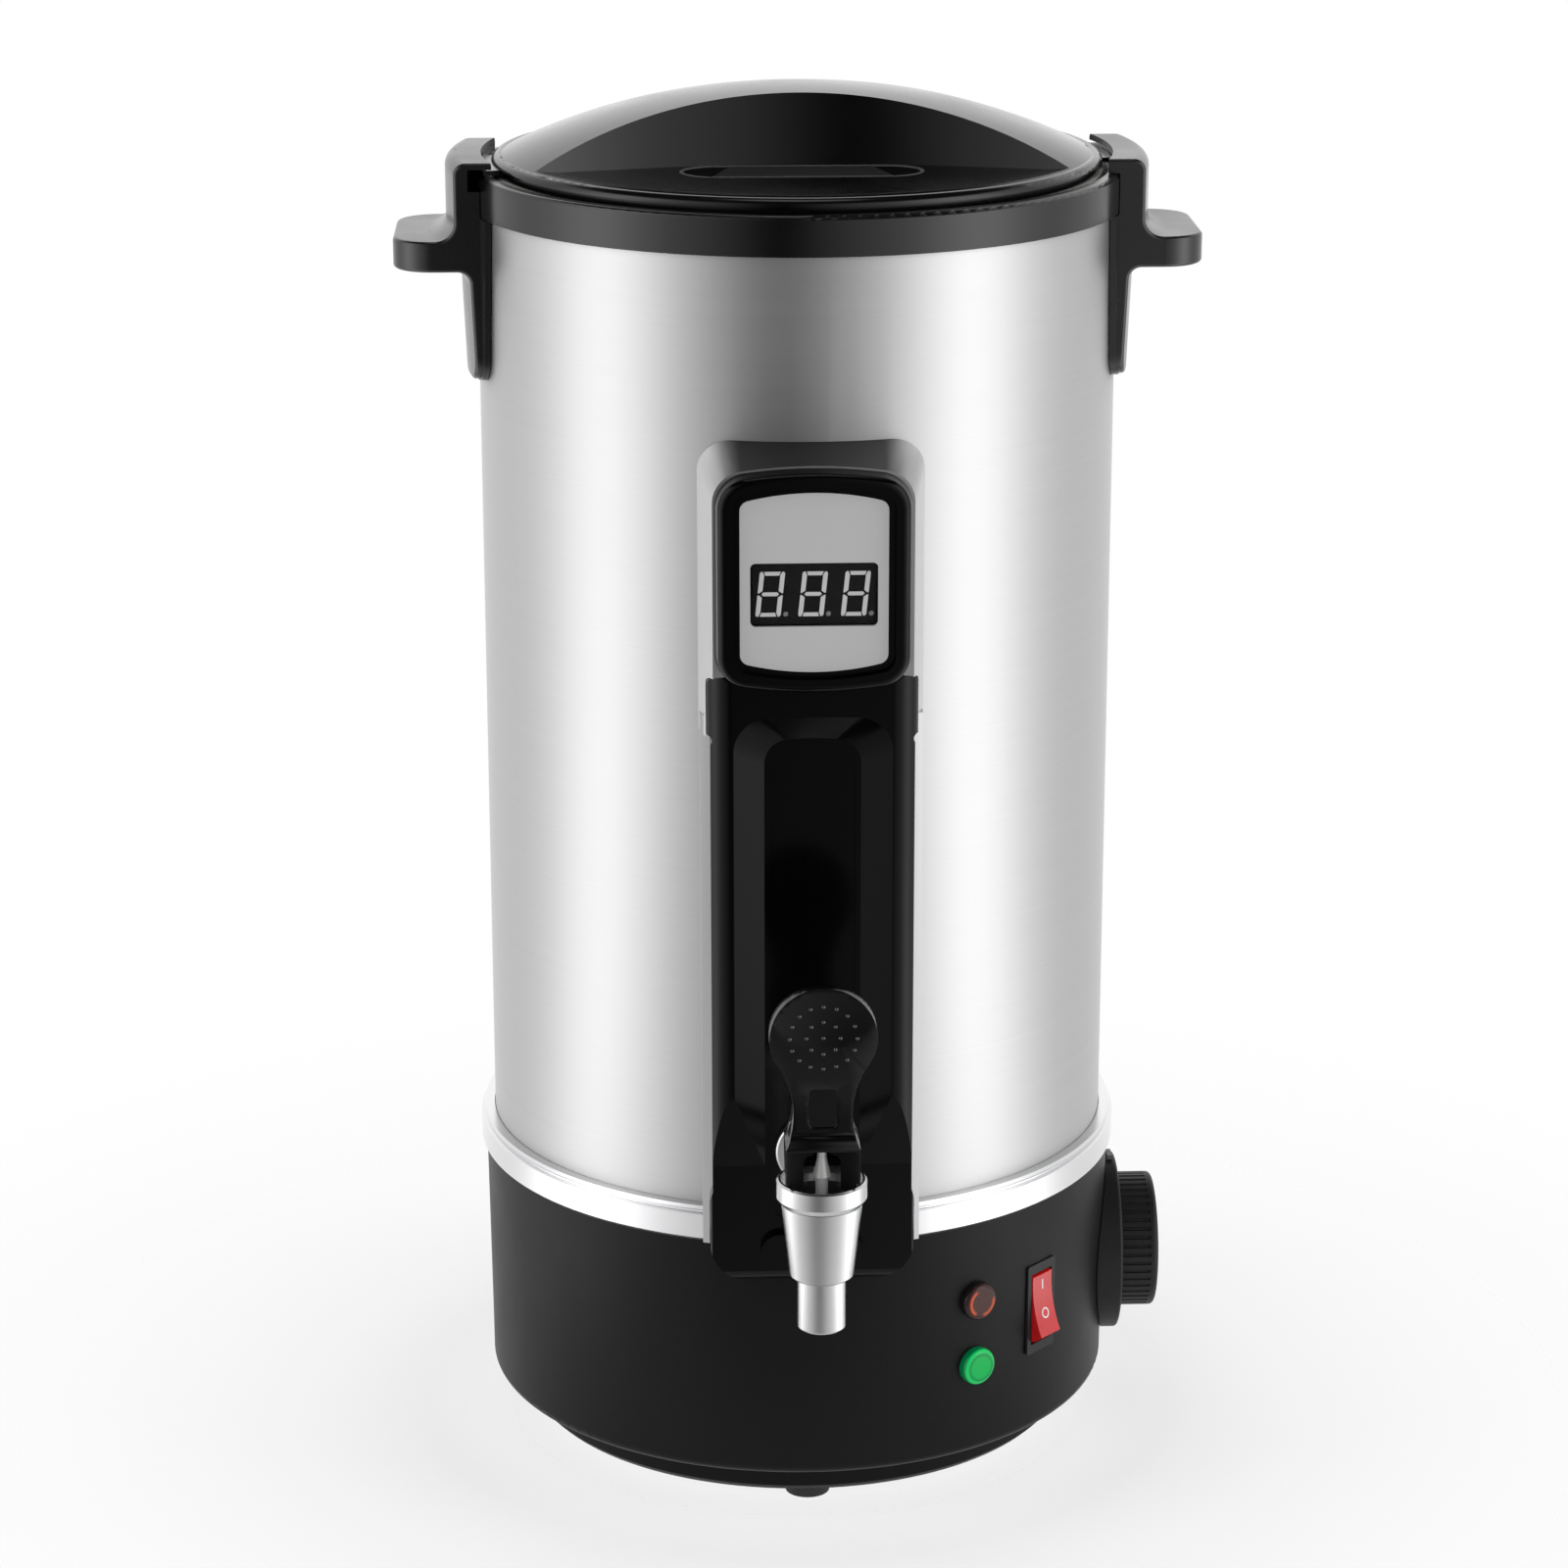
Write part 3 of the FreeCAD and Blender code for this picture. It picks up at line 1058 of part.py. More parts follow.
def lever_front_view():
    """Front outline of the lever: straight foot, waist, and round thumb pad."""
    bow_r = 38.3
    join = math.radians(30)
    waist_r = ((LEVER_NECK_Z - LEVER_FOOT_TOP) ** 2 + (LEVER_FOOT_HALF - LEVER_NECK_HALF) ** 2) \
        / (2 * (LEVER_FOOT_HALF - LEVER_NECK_HALF))
    waist_turn = math.asin((LEVER_NECK_Z - LEVER_FOOT_TOP) / waist_r) / 2
    pad_x = PAD_R * math.cos(join)
    pad_z = PAD_Z - PAD_R * math.sin(join)
    bow_x = LEVER_NECK_HALF + bow_r * (1 - math.cos(join / 2))
    bow_z = LEVER_NECK_Z + (pad_z - LEVER_NECK_Z) * math.sin(join / 2) / math.sin(join)
    waist_x = LEVER_NECK_HALF + waist_r * (1 - math.cos(waist_turn))
    waist_z = LEVER_NECK_Z - waist_r * math.sin(waist_turn)
    edges = []
    for side in (1, -1):
        foot = V(side * LEVER_FOOT_HALF, 0, LEVER_LOW)
        foot_top = V(side * LEVER_FOOT_HALF, 0, LEVER_FOOT_TOP)
        neck = V(side * LEVER_NECK_HALF, 0, LEVER_NECK_Z)
        pad = V(side * pad_x, 0, pad_z)
        edges.append(Part.makeLine(foot, foot_top))
        edges.append(Part.Arc(foot_top, V(side * waist_x, 0, waist_z), neck).toShape())
        edges.append(Part.Arc(neck, V(side * bow_x, 0, bow_z), pad).toShape())
    edges.append(Part.Arc(V(pad_x, 0, pad_z), V(0, 0, PAD_Z + PAD_R), V(-pad_x, 0, pad_z)).toShape())
    edges.append(Part.makeLine(V(-LEVER_FOOT_HALF, 0, LEVER_LOW), V(LEVER_FOOT_HALF, 0, LEVER_LOW)))
    return Part.Face(Part.Wire(Part.__sortEdges__(edges)))


def lever_side_view():
    """Side outline: heel at the front, a step above the yoke, and a pad that leans forward."""
    front = Part.BSplineCurve()
    front.interpolate([
        V(0, -7.8, LEVER_FOOT_TOP + 4), V(0, -6.4, LEVER_NECK_Z), V(0, -7.4, PAD_Z - 14),
        V(0, -9.6, PAD_Z), V(0, -12.4, PAD_Z + PAD_R + 1)])
    back = Part.BSplineCurve()
    back.interpolate([
        V(0, -6.6, PAD_Z + PAD_R + 1), V(0, -3.2, PAD_Z), V(0, 0.2, PAD_Z - 14),
        V(0, 4.6, LEVER_NECK_Z), V(0, 7.4, LEVER_FOOT_TOP)])
    heel_low = V(0, -9.5, LEVER_LOW)
    heel_top = V(0, -10.2, LEVER_FOOT_TOP)
    foot_back = V(0, 7.4, LEVER_FOOT_TOP - 6)
    edges = [
        Part.makeLine(heel_low, heel_top),
        Part.Arc(heel_top, V(0, -9.6, LEVER_FOOT_TOP + 2.4), front.StartPoint).toShape(),
        front.toShape(), Part.makeLine(front.EndPoint, back.StartPoint), back.toShape(),
        Part.makeLine(back.EndPoint, foot_back),
        Part.makeLine(foot_back, V(0, -4.0, LEVER_LOW)),
        Part.makeLine(V(0, -4.0, LEVER_LOW), heel_low)]
    return face_of(edges)


def tap_lever():
    """Moulded lever: its yoke straddles the stem and its heel rides on the ring."""
    front = lever_front_view().extrude(V(0, 60, 0))
    front.translate(V(0, -30, 0))
    side = lever_side_view().extrude(V(60, 0, 0))
    side.translate(V(-30, 0, 0))
    solid = front.common(side)
    dish_r = (PAD_DISH_R ** 2 + PAD_DISH_DEPTH ** 2) / (2 * PAD_DISH_DEPTH)
    dish = Part.makeSphere(dish_r, V(0, -9.8 - dish_r + PAD_DISH_DEPTH, PAD_Z))
    yoke = block(-YOKE_HALF, YOKE_HALF, -20, 20, LEVER_LOW - 1, YOKE_TOP)
    yoke = rounded_edges(yoke, Y_AXIS, 2.0, lambda p: p.z > YOKE_TOP - 1)
    hood = rod(V(0, HOOD_Y, LEVER_LOW - 1), Z_AXIS, HOOD_R, HOOD_TOP - LEVER_LOW + 1)
    ceiling = [e for e in hood.Edges if abs(e.CenterOfMass.z - HOOD_TOP) < 1e-6]
    hood = hood.makeFillet(1.5, ceiling)
    slot = block(-EYE_W / 2 - SEAT, EYE_W / 2 + SEAT, -6.2, 20, YOKE_TOP - 1, PIN_Z + EYE_R + 1.2)
    groove = block(-4.2, 4.2, -20, -5.6, LEVER_FOOT_TOP + 6, PAD_Z - 17)
    groove = rounded_edges(groove, Y_AXIS, 1.5)
    pin = rod(V(-20, 0, PIN_Z), X_AXIS, PIN_R + FIT, 40)
    trim = ring(FOOT_R_LIMIT, 30, LEVER_LOW - 5, RING_TOP + 1.0)
    return moved(solid.cut([dish, yoke, hood, slot, groove, pin, trim]).removeSplitter())


def tap_lever_pin():
    half = LEVER_NECK_HALF - SLIP
    return moved(rod(V(-half, 0, PIN_Z), X_AXIS, PIN_R, 2 * half))


def tap_washers():
    """Sealing washers inside the pot and between pot and drum, shaped to the curved walls."""
    blank = rod(V(0, -DRUM_R, TAP_Z), Y_AXIS, WASHER_R, DRUM_R - POT_R + WASHER_T)
    blank = blank.cut(rod(V(0, -DRUM_R - 1, TAP_Z), Y_AXIS, SHANK_R + FIT, 30))
    inside = blank.common(rod(V(0, 0, 50), Z_AXIS, POT_R, 200))
    between = blank.common(ring(POT_R + POT_WALL, DRUM_BORE, 50, 250))
    return Part.makeCompound([inside, between])


def tap_lock_nut():
    """Hexagonal nut on the shank inside the pot."""
    corners = []
    for index in range(7):
        angle = math.radians(60 * index)
        corners.append(V(NUT_R * math.cos(angle), 0, TAP_Z + NUT_R * math.sin(angle)))
    nut = Part.Face(Part.makePolygon(corners)).extrude(V(0, NUT_T, 0))
    nut.translate(V(0, -POT_R + WASHER_T, 0))
    return nut.cut(rod(V(0, -POT_R - 5, TAP_Z), Y_AXIS, SHANK_R + FIT, 30))


# ---- controls ---------------------------------------------------------------------------------
def wall_r(height):
    """Outside radius of the base casing at one height."""
    share = (height - SHELL_LOW) / (SHELL_HIGH - SHELL_LOW)
    return SHELL_LOW_R + (SHELL_TOP_R - SHELL_LOW_R) * share


def rocker_bezel():
    """Switch housing: a flange on the casing and a hollow body behind it."""
    wall = wall_r(SWITCH_Z)
    half_w = SWITCH_W / 2
    half_h = SWITCH_H / 2
    flange = block(wall - 1, wall + SWITCH_FLANGE, -half_w, half_w, SWITCH_Z - half_h, SWITCH_Z + half_h)
    flange = rounded_edges(flange, X_AXIS, 0.8)
    flange = flange.cut(casing_form(SLIP / 2))
    body = block(wall - SWITCH_BODY_D, wall + 0.5, -SWITCH_BODY_W / 2, SWITCH_BODY_W / 2,
                 SWITCH_Z - SWITCH_BODY_H / 2, SWITCH_Z + SWITCH_BODY_H / 2)
    axis_x = wall - PIVOT_DEPTH
    hollow = block(wall - SWITCH_BODY_D + 2, wall + 5, -ROCKER_W / 2 - SEAT, ROCKER_W / 2 + SEAT,
                   SWITCH_Z - ROCKER_R - SEAT, SWITCH_Z + ROCKER_R + SEAT)
    pivot = rod(V(axis_x, -SWITCH_BODY_W / 2 + 0.2, SWITCH_Z), Y_AXIS, PIVOT_R + FIT, SWITCH_BODY_W - 0.4)
    solid = body.fuse(flange).cut([hollow, pivot])
    return at_azimuth(solid.removeSplitter(), SWITCH_AZ)


def casing_form(gap):
    """The casing's outer form, let out by a gap."""
    return turned([
        (0, SHELL_LOW), (SHELL_LOW_R + gap, SHELL_LOW), (SHELL_TOP_R + gap, SHELL_HIGH),
        (0, SHELL_HIGH)])


def rocker():
    """Rocker with a hollowed face, drawn level and then tilted with its upper end pressed."""
    axis_x = wall_r(SWITCH_Z) - PIVOT_DEPTH
    drum = rod(V(axis_x, -ROCKER_W / 2, SWITCH_Z), Y_AXIS, ROCKER_R, ROCKER_W)
    face_x = axis_x + ROCKER_FRONT
    hollow = rod(V(face_x + ROCKER_HOLLOW_R, -20, SWITCH_Z), Y_AXIS, ROCKER_HOLLOW_R, 40)
    back = block(axis_x - 40, axis_x - 5.0, -20, 20, SWITCH_Z - 40, SWITCH_Z + 40)
    pivot = rod(V(axis_x, -SWITCH_BODY_W / 2 + 0.4, SWITCH_Z), Y_AXIS, PIVOT_R, SWITCH_BODY_W - 0.8)
    solid = drum.cut([hollow, back]).fuse(pivot).removeSplitter()
    solid.rotate(V(axis_x, 0, SWITCH_Z), Y_AXIS, -ROCKER_TILT)
    return at_azimuth(solid, SWITCH_AZ)


def switch_terminals():
    wall = wall_r(SWITCH_Z)
    back = wall - SWITCH_BODY_D
    blades = []
    for offset in (-8.5, 0, 8.5):
        blade = block(back - 8, back, -2.4, 2.4, SWITCH_Z + offset - 0.4, SWITCH_Z + offset + 0.4)
        blades.append(at_azimuth(blade, SWITCH_AZ))
    return Part.makeCompound(blades)


def lamp(height):
    """Indicator lens: a low dome with a flange, on a stem that passes through the casing."""
    wall = wall_r(height)
    head = rod(V(wall - 0.8, 0, height), X_AXIS, LAMP_R, LAMP_PROUD + 0.8)
    rim = [e for e in head.Edges if abs(e.CenterOfMass.x - wall - LAMP_PROUD) < 1e-6]
    head = head.makeFillet(1.8, rim)
    head = head.cut(casing_form(SLIP / 2))
    stem = rod(V(wall - 6, 0, height), X_AXIS, LAMP_BODY_R, 7)
    return at_azimuth(head.fuse(stem).removeSplitter(), LAMP_AZ)


def lamp_holders():
    """Nylon lamp bodies that clip on behind the casing."""
    solids = []
    for height in (RED_LAMP_Z, GREEN_LAMP_Z):
        wall = wall_r(height)
        body = rod(V(wall - LAMP_BODY_D - 6, 0, height), X_AXIS, LAMP_BODY_R, LAMP_BODY_D)
        clip = rod(V(wall - 8, 0, height), X_AXIS, LAMP_R + 1.2, 5.6)
        well = rod(V(wall - 6, 0, height), X_AXIS, LAMP_BODY_R + FIT, 10)
        solid = body.fuse(clip).cut(well)
        solid = solid.cut(casing_outside())
        solids.append(at_azimuth(solid.removeSplitter(), LAMP_AZ))
    return Part.makeCompound(solids)


def casing_outside():
    """Everything from the casing's inner face outwards."""
    return turned([
        (SHELL_LOW_R - SHELL_WALL - SLIP, SHELL_LOW + SHELL_WALL),
        (SHELL_TOP_R + 60, SHELL_LOW + SHELL_WALL), (SHELL_TOP_R + 60, SHELL_HIGH - SHELL_WALL),
        (SHELL_BORE - SLIP, SHELL_HIGH - SHELL_WALL)])


def knob_plate():
    """Dial plate on the casing, its back shaped to the curved wall."""
    plate = rod(V(SHELL_TOP_R - 8, 0, KNOB_Z), X_AXIS, DIAL_R, DIAL_X - SHELL_TOP_R + 8)
    rim = [e for e in plate.Edges if abs(e.CenterOfMass.x - DIAL_X) < 1e-6]
    plate = plate.makeFillet(1.0, rim)
    return plate.cut([casing_form(SLIP), rod(V(90, 0, KNOB_Z), X_AXIS, SPINDLE_R + 1, 40)])


def dial_pointer():
    """Pale index mark on the plate's upper edge."""
    low = KNOB_Z + DIAL_R
    tab = block(wall_r(low) + 1.0, DIAL_X - 1.4, -3.0, 3.0, low, low + 1.6)
    return tab.cut(rod(V(90, 0, KNOB_Z), X_AXIS, DIAL_R + FIT, 40))


def knob():
    """Control knob with grip ribs, bored for the spindle."""
    low = DIAL_X + KNOB_GAP
    body = rod(V(low, 0, KNOB_Z), X_AXIS, KNOB_R, KNOB_X - low)
    rim = [e for e in body.Edges if abs(e.CenterOfMass.x - KNOB_X) < 1e-6]
    body = body.makeFillet(1.6, rim)
    grooves = []
    for index in range(KNOB_RIBS):
        angle = 2 * math.pi * index / KNOB_RIBS
        place = V(low - 1, KNOB_R * math.cos(angle), KNOB_Z + KNOB_R * math.sin(angle))
        grooves.append(rod(place, X_AXIS, KNOB_RIB_R, KNOB_X - low - 1.6))
    bore = rod(V(low - 1, 0, KNOB_Z), X_AXIS, SPINDLE_R, 9)
    return body.cut(grooves + [bore])


def thermostat_spindle():
    start = SHELL_TOP_R - THERMOSTAT_D / 2
    return rod(V(start, 0, KNOB_Z), X_AXIS, SPINDLE_R, DIAL_X + KNOB_GAP + 8 - start)


def thermostat():
    """Capillary thermostat behind the dial, bored for its spindle."""
    front = wall_r(KNOB_Z) - SHELL_WALL - 2.5
    body = rod(V(front - THERMOSTAT_D, 0, KNOB_Z), X_AXIS, THERMOSTAT_R, THERMOSTAT_D)
    neck = rod(V(front - 1, 0, KNOB_Z), X_AXIS, 8.0, 3.2)
    neck = neck.cut(casing_outside())
    bore = rod(V(SHELL_TOP_R - THERMOSTAT_D / 2 - 0.5, 0, KNOB_Z), X_AXIS, SPINDLE_R + FIT, 40)
    tabs = []
    for y in (-7, 7):
        tabs.append(block(front - THERMOSTAT_D - 8, front - THERMOSTAT_D, y - 3, y + 3,
                          KNOB_Z - 0.4, KNOB_Z + 0.4))
    return body.fuse([neck] + tabs).cut(bore).removeSplitter()


def power_inlet():
    """Appliance inlet at the back: flange, body and the socket for the plug."""
    wall = wall_r(INLET_Z)
    flange = block(-INLET_W / 2, INLET_W / 2, wall - 3, wall + INLET_FLANGE,
                   INLET_Z - INLET_H / 2, INLET_Z + INLET_H / 2)
    flange = rounded_edges(flange, Y_AXIS, 2.5).cut(casing_form(SLIP / 2))
    body = block(-INLET_BODY_W / 2, INLET_BODY_W / 2, wall - INLET_BODY_D, wall + 0.5,
                 INLET_Z - INLET_BODY_H / 2, INLET_Z + INLET_BODY_H / 2)
    half_w = INLET_SOCKET_W / 2
    low = INLET_Z - INLET_SOCKET_H / 2
    high = INLET_Z + INLET_SOCKET_H / 2
    face_y = wall + INLET_FLANGE + 1
    outline = Part.makePolygon([
        V(-half_w, face_y, low), V(half_w, face_y, low), V(half_w, face_y, high - 5),
        V(half_w - 5, face_y, high), V(5 - half_w, face_y, high), V(-half_w, face_y, high - 5),
        V(-half_w, face_y, low)])
    socket = Part.Face(outline).extrude(V(0, -INLET_SOCKET_D - 1, 0))
    slots = [pin_block(x, z, 10) for x, z in inlet_pin_places()]
    return flange.fuse(body).cut([socket] + slots).removeSplitter()


def inlet_pin_places():
    return ((-7.0, INLET_Z - 2.0), (7.0, INLET_Z - 2.0), (0.0, INLET_Z + 2.0))


def pin_block(x, z, behind):
    """One flat pin of the inlet, running from behind the socket's floor to just inside its mouth."""
    floor = wall_r(INLET_Z) + INLET_FLANGE - INLET_SOCKET_D
    return block(x - PIN_H / 2, x + PIN_H / 2, floor - behind, floor + PIN_L,
                 z - PIN_W / 2, z + PIN_W / 2)


def inlet_pins():
    return Part.makeCompound([pin_block(x, z, 10) for x, z in inlet_pin_places()])


# ---- all pieces -------------------------------------------------------------------------------
PIECES = {
    "drum_shell": drum_shell,
    "inner_pot": inner_pot,
    "top_collar": top_collar,
    "right_handle": handle,
    "left_handle": lambda: half_turn(handle()),
    "handle_screws": handle_screws,
    "lid": lid,
    "lid_inset": lid_inset,
    "lid_gasket": lid_gasket,
    "base_band": base_band,
    "base_shell": base_shell,
    "base_pan": base_pan,
    "base_screws": base_screws,
    "feet": feet,
    "foot_screws": foot_screws,
    "heat_shield": heat_shield,
    "heater_posts": heater_posts,
    "heater_plate": heater_plate,
    "heating_element": heating_element,
    "thermal_cutout": thermal_cutout,
    "temperature_probe": temperature_probe,
    "terminal_block": terminal_block,
    "housing_frame": housing_frame,
    "housing_screws": housing_screws,
    "lower_cover": lower_cover,
    "display_bezel": display_bezel,
    "label_panel": label_panel,
    "display_window": display_window,
    "display_module": display_module,
    "display_board": display_board,
    "tap_body": tap_body,
    "tap_ring": tap_ring,
    "tap_bonnet": tap_bonnet,
    "tap_stem": tap_stem,
    "tap_seat_cup": tap_seat_cup,
    "tap_lever": tap_lever,
    "tap_lever_pin": tap_lever_pin,
    "tap_washers": tap_washers,
    "tap_lock_nut": tap_lock_nut,
    "rocker_bezel": rocker_bezel,
    "rocker": rocker,
    "switch_terminals": switch_terminals,
    "red_lamp": lambda: lamp(RED_LAMP_Z),
    "green_lamp": lambda: lamp(GREEN_LAMP_Z),
    "lamp_holders": lamp_holders,
    "knob_plate": knob_plate,
    "dial_pointer": dial_pointer,
    "knob": knob,
    "thermostat_spindle": thermostat_spindle,
    "thermostat": thermostat,
    "power_inlet": power_inlet,
    "inlet_pins": inlet_pins,
}

os.makedirs("parts", exist_ok=True)
for piece_name, make in PIECES.items():
    save(piece_name, make())
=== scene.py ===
"""Studio scene of the candle wax melter: finishes for every CAD node, the small visible details,
soft light and a camera at the product photograph's viewing angle. Metres, +Z up, front towards -Y."""
import json
import math

import bmesh
import bpy
from mathutils import Matrix, Vector
from mathutils.bvhtree import BVHTree


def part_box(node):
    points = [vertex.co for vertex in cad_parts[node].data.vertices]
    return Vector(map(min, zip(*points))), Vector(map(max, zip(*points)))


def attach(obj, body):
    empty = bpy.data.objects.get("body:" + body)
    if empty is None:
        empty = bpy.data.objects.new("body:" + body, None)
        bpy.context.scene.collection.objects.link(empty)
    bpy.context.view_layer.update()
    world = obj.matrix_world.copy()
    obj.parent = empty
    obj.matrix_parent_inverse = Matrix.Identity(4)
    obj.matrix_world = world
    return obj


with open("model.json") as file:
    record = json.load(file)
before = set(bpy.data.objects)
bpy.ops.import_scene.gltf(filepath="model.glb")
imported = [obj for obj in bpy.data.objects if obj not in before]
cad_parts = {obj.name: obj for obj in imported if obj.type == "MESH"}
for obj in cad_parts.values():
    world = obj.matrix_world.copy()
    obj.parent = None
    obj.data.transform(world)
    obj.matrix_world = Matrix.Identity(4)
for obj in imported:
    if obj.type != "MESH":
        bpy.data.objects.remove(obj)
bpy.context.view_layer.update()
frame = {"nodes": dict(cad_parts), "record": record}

NODES = frame["nodes"]
MM = 0.001

# ---- camera: a long lens, a little left of the tap and looking down -----------------------------
CAMERA_PLACE = (-0.0622, -1.3976, 0.6457)
CAMERA_YAW = math.radians(2.55)
CAMERA_PITCH = math.radians(16.9)
CAMERA_LENS = 100.125
CAMERA_SENSOR = 36.0
CAMERA_SHIFT = -0.00825
CAMERA_REACH = 60

# ---- world and floor ----------------------------------------------------------------------------
WORLD_DIFFUSE = 0.72      # what lights matt faces
WORLD_SEEN = 1.0          # what the lens and polished faces see: white
FLOOR_R = 9.0
FLOOR_SIDES = 96
FLOOR_UNDER_R = 0.085     # the floor is faint under the object, then carries its soft shadow,
FLOOR_SHADE_R = 0.13      # and fades into the white world
FLOOR_CLEAR_R = 0.42
FLOOR_UNDER = 0.15
FLOOR_SHADE = 0.50
FLOOR_CLOUDS = 3.0

# ---- lamps, unseen in reflections ---------------------------------------------------------------
SOFTBOX_SIZE = (0.60, 1.30)
SOFTBOX_REACH = 1.15
SOFTBOX_Z = 0.66
SOFTBOX_RADIANCE = 1.9
SOFTBOX_AZIMUTHS = (("left_softbox", -78.0), ("right_softbox", 72.0))
TOP_LIGHT_SIZE = (1.6, 1.0)
TOP_LIGHT_RADIANCE = 1.0
TOP_LIGHT_PLACE = (0, 0.5, 1.9)
TOP_LIGHT_AIM = (0, 0, 0.4)

# ---- card round the object, out of shot: only polished faces see it -----------------------------
CARD_OUTER_R = 2.1
CARD_PROFILE = (          # radius, height, how much of the dark zone and of the glow it shows
    (0.20, 0.003, 0.30, 0.5), (0.32, 0.003, 0.55, 0.9), (0.60, 0.003, 0.85, 1.0),
    (1.20, 0.003, 1.0, 1.0), (1.95, 0.003, 1.0, 1.0), (CARD_OUTER_R, 0.25, 1.0, 1.0),
    (CARD_OUTER_R, 1.6, 1.0, 1.0), (2.0, 1.95, 1.0, 0.7), (1.8, 2.3, 1.0, 0.0), (1.0, 2.9, 1.0, 0.0),
    (0.62, 3.0, 1.0, 0.0), (0.55, 3.0, 1.0, 0.0), (0.0, 3.0, 1.0, 0.0))
CARD_STEPS = 120
CARD_TONE = 0.82
CEILING_TONE = 0.03
OVERHEAD_TONE = 1.5
CEILING_RINGS = 5         # the last rings of the profile are the dark ceiling,
OVERHEAD_RINGS = 2        # with a light straight above
DARK_AZ = -8.0            # middle of the dark zone in front, with its width and depth
DARK_WIDTH = 21.0
DARK_DEPTH = 0.97
GLOWS = ((-74.0, 20.0, 1.75), (61.0, 20.0, 1.95), (180.0, 55.0, 0.4))   # azimuth, width, strength
TONE_LAYER = "tone"

# ---- surface detail: how often noise repeats in a metre, and what it changes ---------------------
MOULDED_CLOUDS = 28.0
METAL_CLOUDS = 14.0
FINE_GLOSS = 0.02
DRUM_FINE = (30, 30, 4200)
DRUM_STREAK = (7, 7, 1100)
DRUM_BROAD = (9, 9, 260)
DRUM_FINE_SHARE = 0.6
DRUM_LINES_SHARE = 0.8
DRUM_TINT = 0.14
DRUM_GLOSS = 0.05
DRUM_DEPTH = 0.006 * MM

# ---- housing head: painted shade darkens the middle of its top slope -----------------------------
HEAD_PAINTED_SHADE_HALF = 22.0 * MM
HEAD_PAINTED_SHADE_FADE_HALF = 32.0 * MM
HEAD_SLOPE = (0.3, 0.45)  # upward part of the normal where the slope begins

# ---- lever and tap ------------------------------------------------------------------------------
HOOD_AXIS_Y = -182.0 * MM     # the hollow of the lever's foot is matt up to this radius and height
HOOD_FADE_R = (11.1 * MM, 11.4 * MM)
HOOD_FADE_Z = (159.9 * MM, 160.2 * MM)
HOOD_MATT = 0.6
PAINTED_HIGHLIGHT_AHEAD = (0.1, 0.3)     # forward and sideways parts of the normal on an edge with a painted highlight
PAINTED_HIGHLIGHT_ASIDE = (0.3, 0.5)
PAINTED_HIGHLIGHT_Z = (159.9 * MM, 161.9 * MM)
DOT_R = 0.62 * MM             # grip dots of the thumb pad: rings of radius and count
DOT_H = 0.42 * MM
DOT_RINGS = ((0.0, 1), (5.1 * MM, 8), (10.1 * MM, 16))
DOT_SIDES = (12, 8)
PAD_Z = 195.8 * MM
AHEAD_Y = -260.0 * MM         # in front of the tap
GROOVE_WEB_HALF = 4.2 * MM
GROOVE_WEB_LOW = 166.5 * MM
GROOVE_WEB_HIGH = 178.7 * MM
GROOVE_WEB_Y = -176.25 * MM
GROOVE_WEB_T = 0.35 * MM
TAP_AXIS_Y = -170.0 * MM
BACK_WEB_HALF = 5.6 * MM
BACK_WEB_SIDE = ((2.9, 150.3), (7.1, 154.2), (7.1, 155.5), (6.0, 155.5), (2.9, 152.6))   # y, z in mm

# ---- indicator lamps: zones are shares of the lens radius ----------------------------------------
LAMP_AZ = math.radians(-58.9)
LAMP_LENS_R = 6.3 * MM
LAMP_RING = (0.58, 0.66)
LAMP_RIM = (0.76, 0.82)
LAMP_EDGE = (0.93, 0.99)
LAMP_STRIPE = 0.9 * MM
ARC_SOFT = 0.12

# ---- rocker: raised I and O ---------------------------------------------------------------------
SWITCH_AZ = math.radians(-43.0)
SWITCH_CLEAR = 50.0 * MM
MARK_PROUD = 0.12 * MM
MARK_I_SIZE = (0.62 * MM, 3.4 * MM)
MARK_I_DROP = 4.3 * MM
MARK_I_STEPS = 6
MARK_O_RADII = (1.28 * MM, 1.75 * MM)
MARK_O_RISE = 10.2 * MM
MARK_O_STEPS = 40

# ---- display: three unlit seven-segment digits --------------------------------------------------
DIGIT_H = 14.0 * MM
DIGIT_W = 7.7 * MM
DIGIT_STROKE = 1.4 * MM
DIGIT_BAR = 1.2 * MM
DIGIT_GAP = 0.34 * MM
DIGIT_SLANT = math.tan(math.radians(6))
DIGIT_PITCH = 13.0 * MM
DIGIT_SHIFT = -0.3 * MM
DIGIT_THICK = 0.06 * MM
LEVEL_CUT = 0.7           # where segments are cut off at their ends: shares of a stroke's width,
CENTRE_CUT = 0.6
SIDE_CUT = 0.3
SIDE_SHOULDER = 0.35
SIDE_INNER = 0.9          # and of a bar's height
POINT_R = 0.75 * MM
POINT_ASIDE = 1.5 * MM
POINT_SIDES = 20

# ---- lid: dark well inside the plate's rim, with a lighter field between its slanted ends ---------
FIELD_BACK_HALF = 22.6 * MM
FIELD_FRONT_HALF = 28.6 * MM
FIELD_T = 0.2 * MM
FIELD_BEVEL = 0.08 * MM
PLATE_EDGE = 1.15 * MM
PLATE_WELL = 0.4 * MM
WELL_T = 0.05 * MM
WELL_ROUND = 0.9          # corner radius as a share of half the well's depth
WELL_CORNER_STEPS = 8

# ---- fine rounding of edges: node, width in millimetres ------------------------------------------
SOFT_EDGES = (("lid", 0.4), ("display_bezel", 0.5), ("tap_lever", 0.8), ("lower_cover", 0.35))
SOFT_EDGE_SEGMENTS = 2
SOFT_EDGE_ANGLE = math.radians(38)
JOINED_FIRST = ("tap_lever",)     # its mesh comes split at sharp edges, and is joined for the bevel
JOIN_REACH = 0.001 * MM


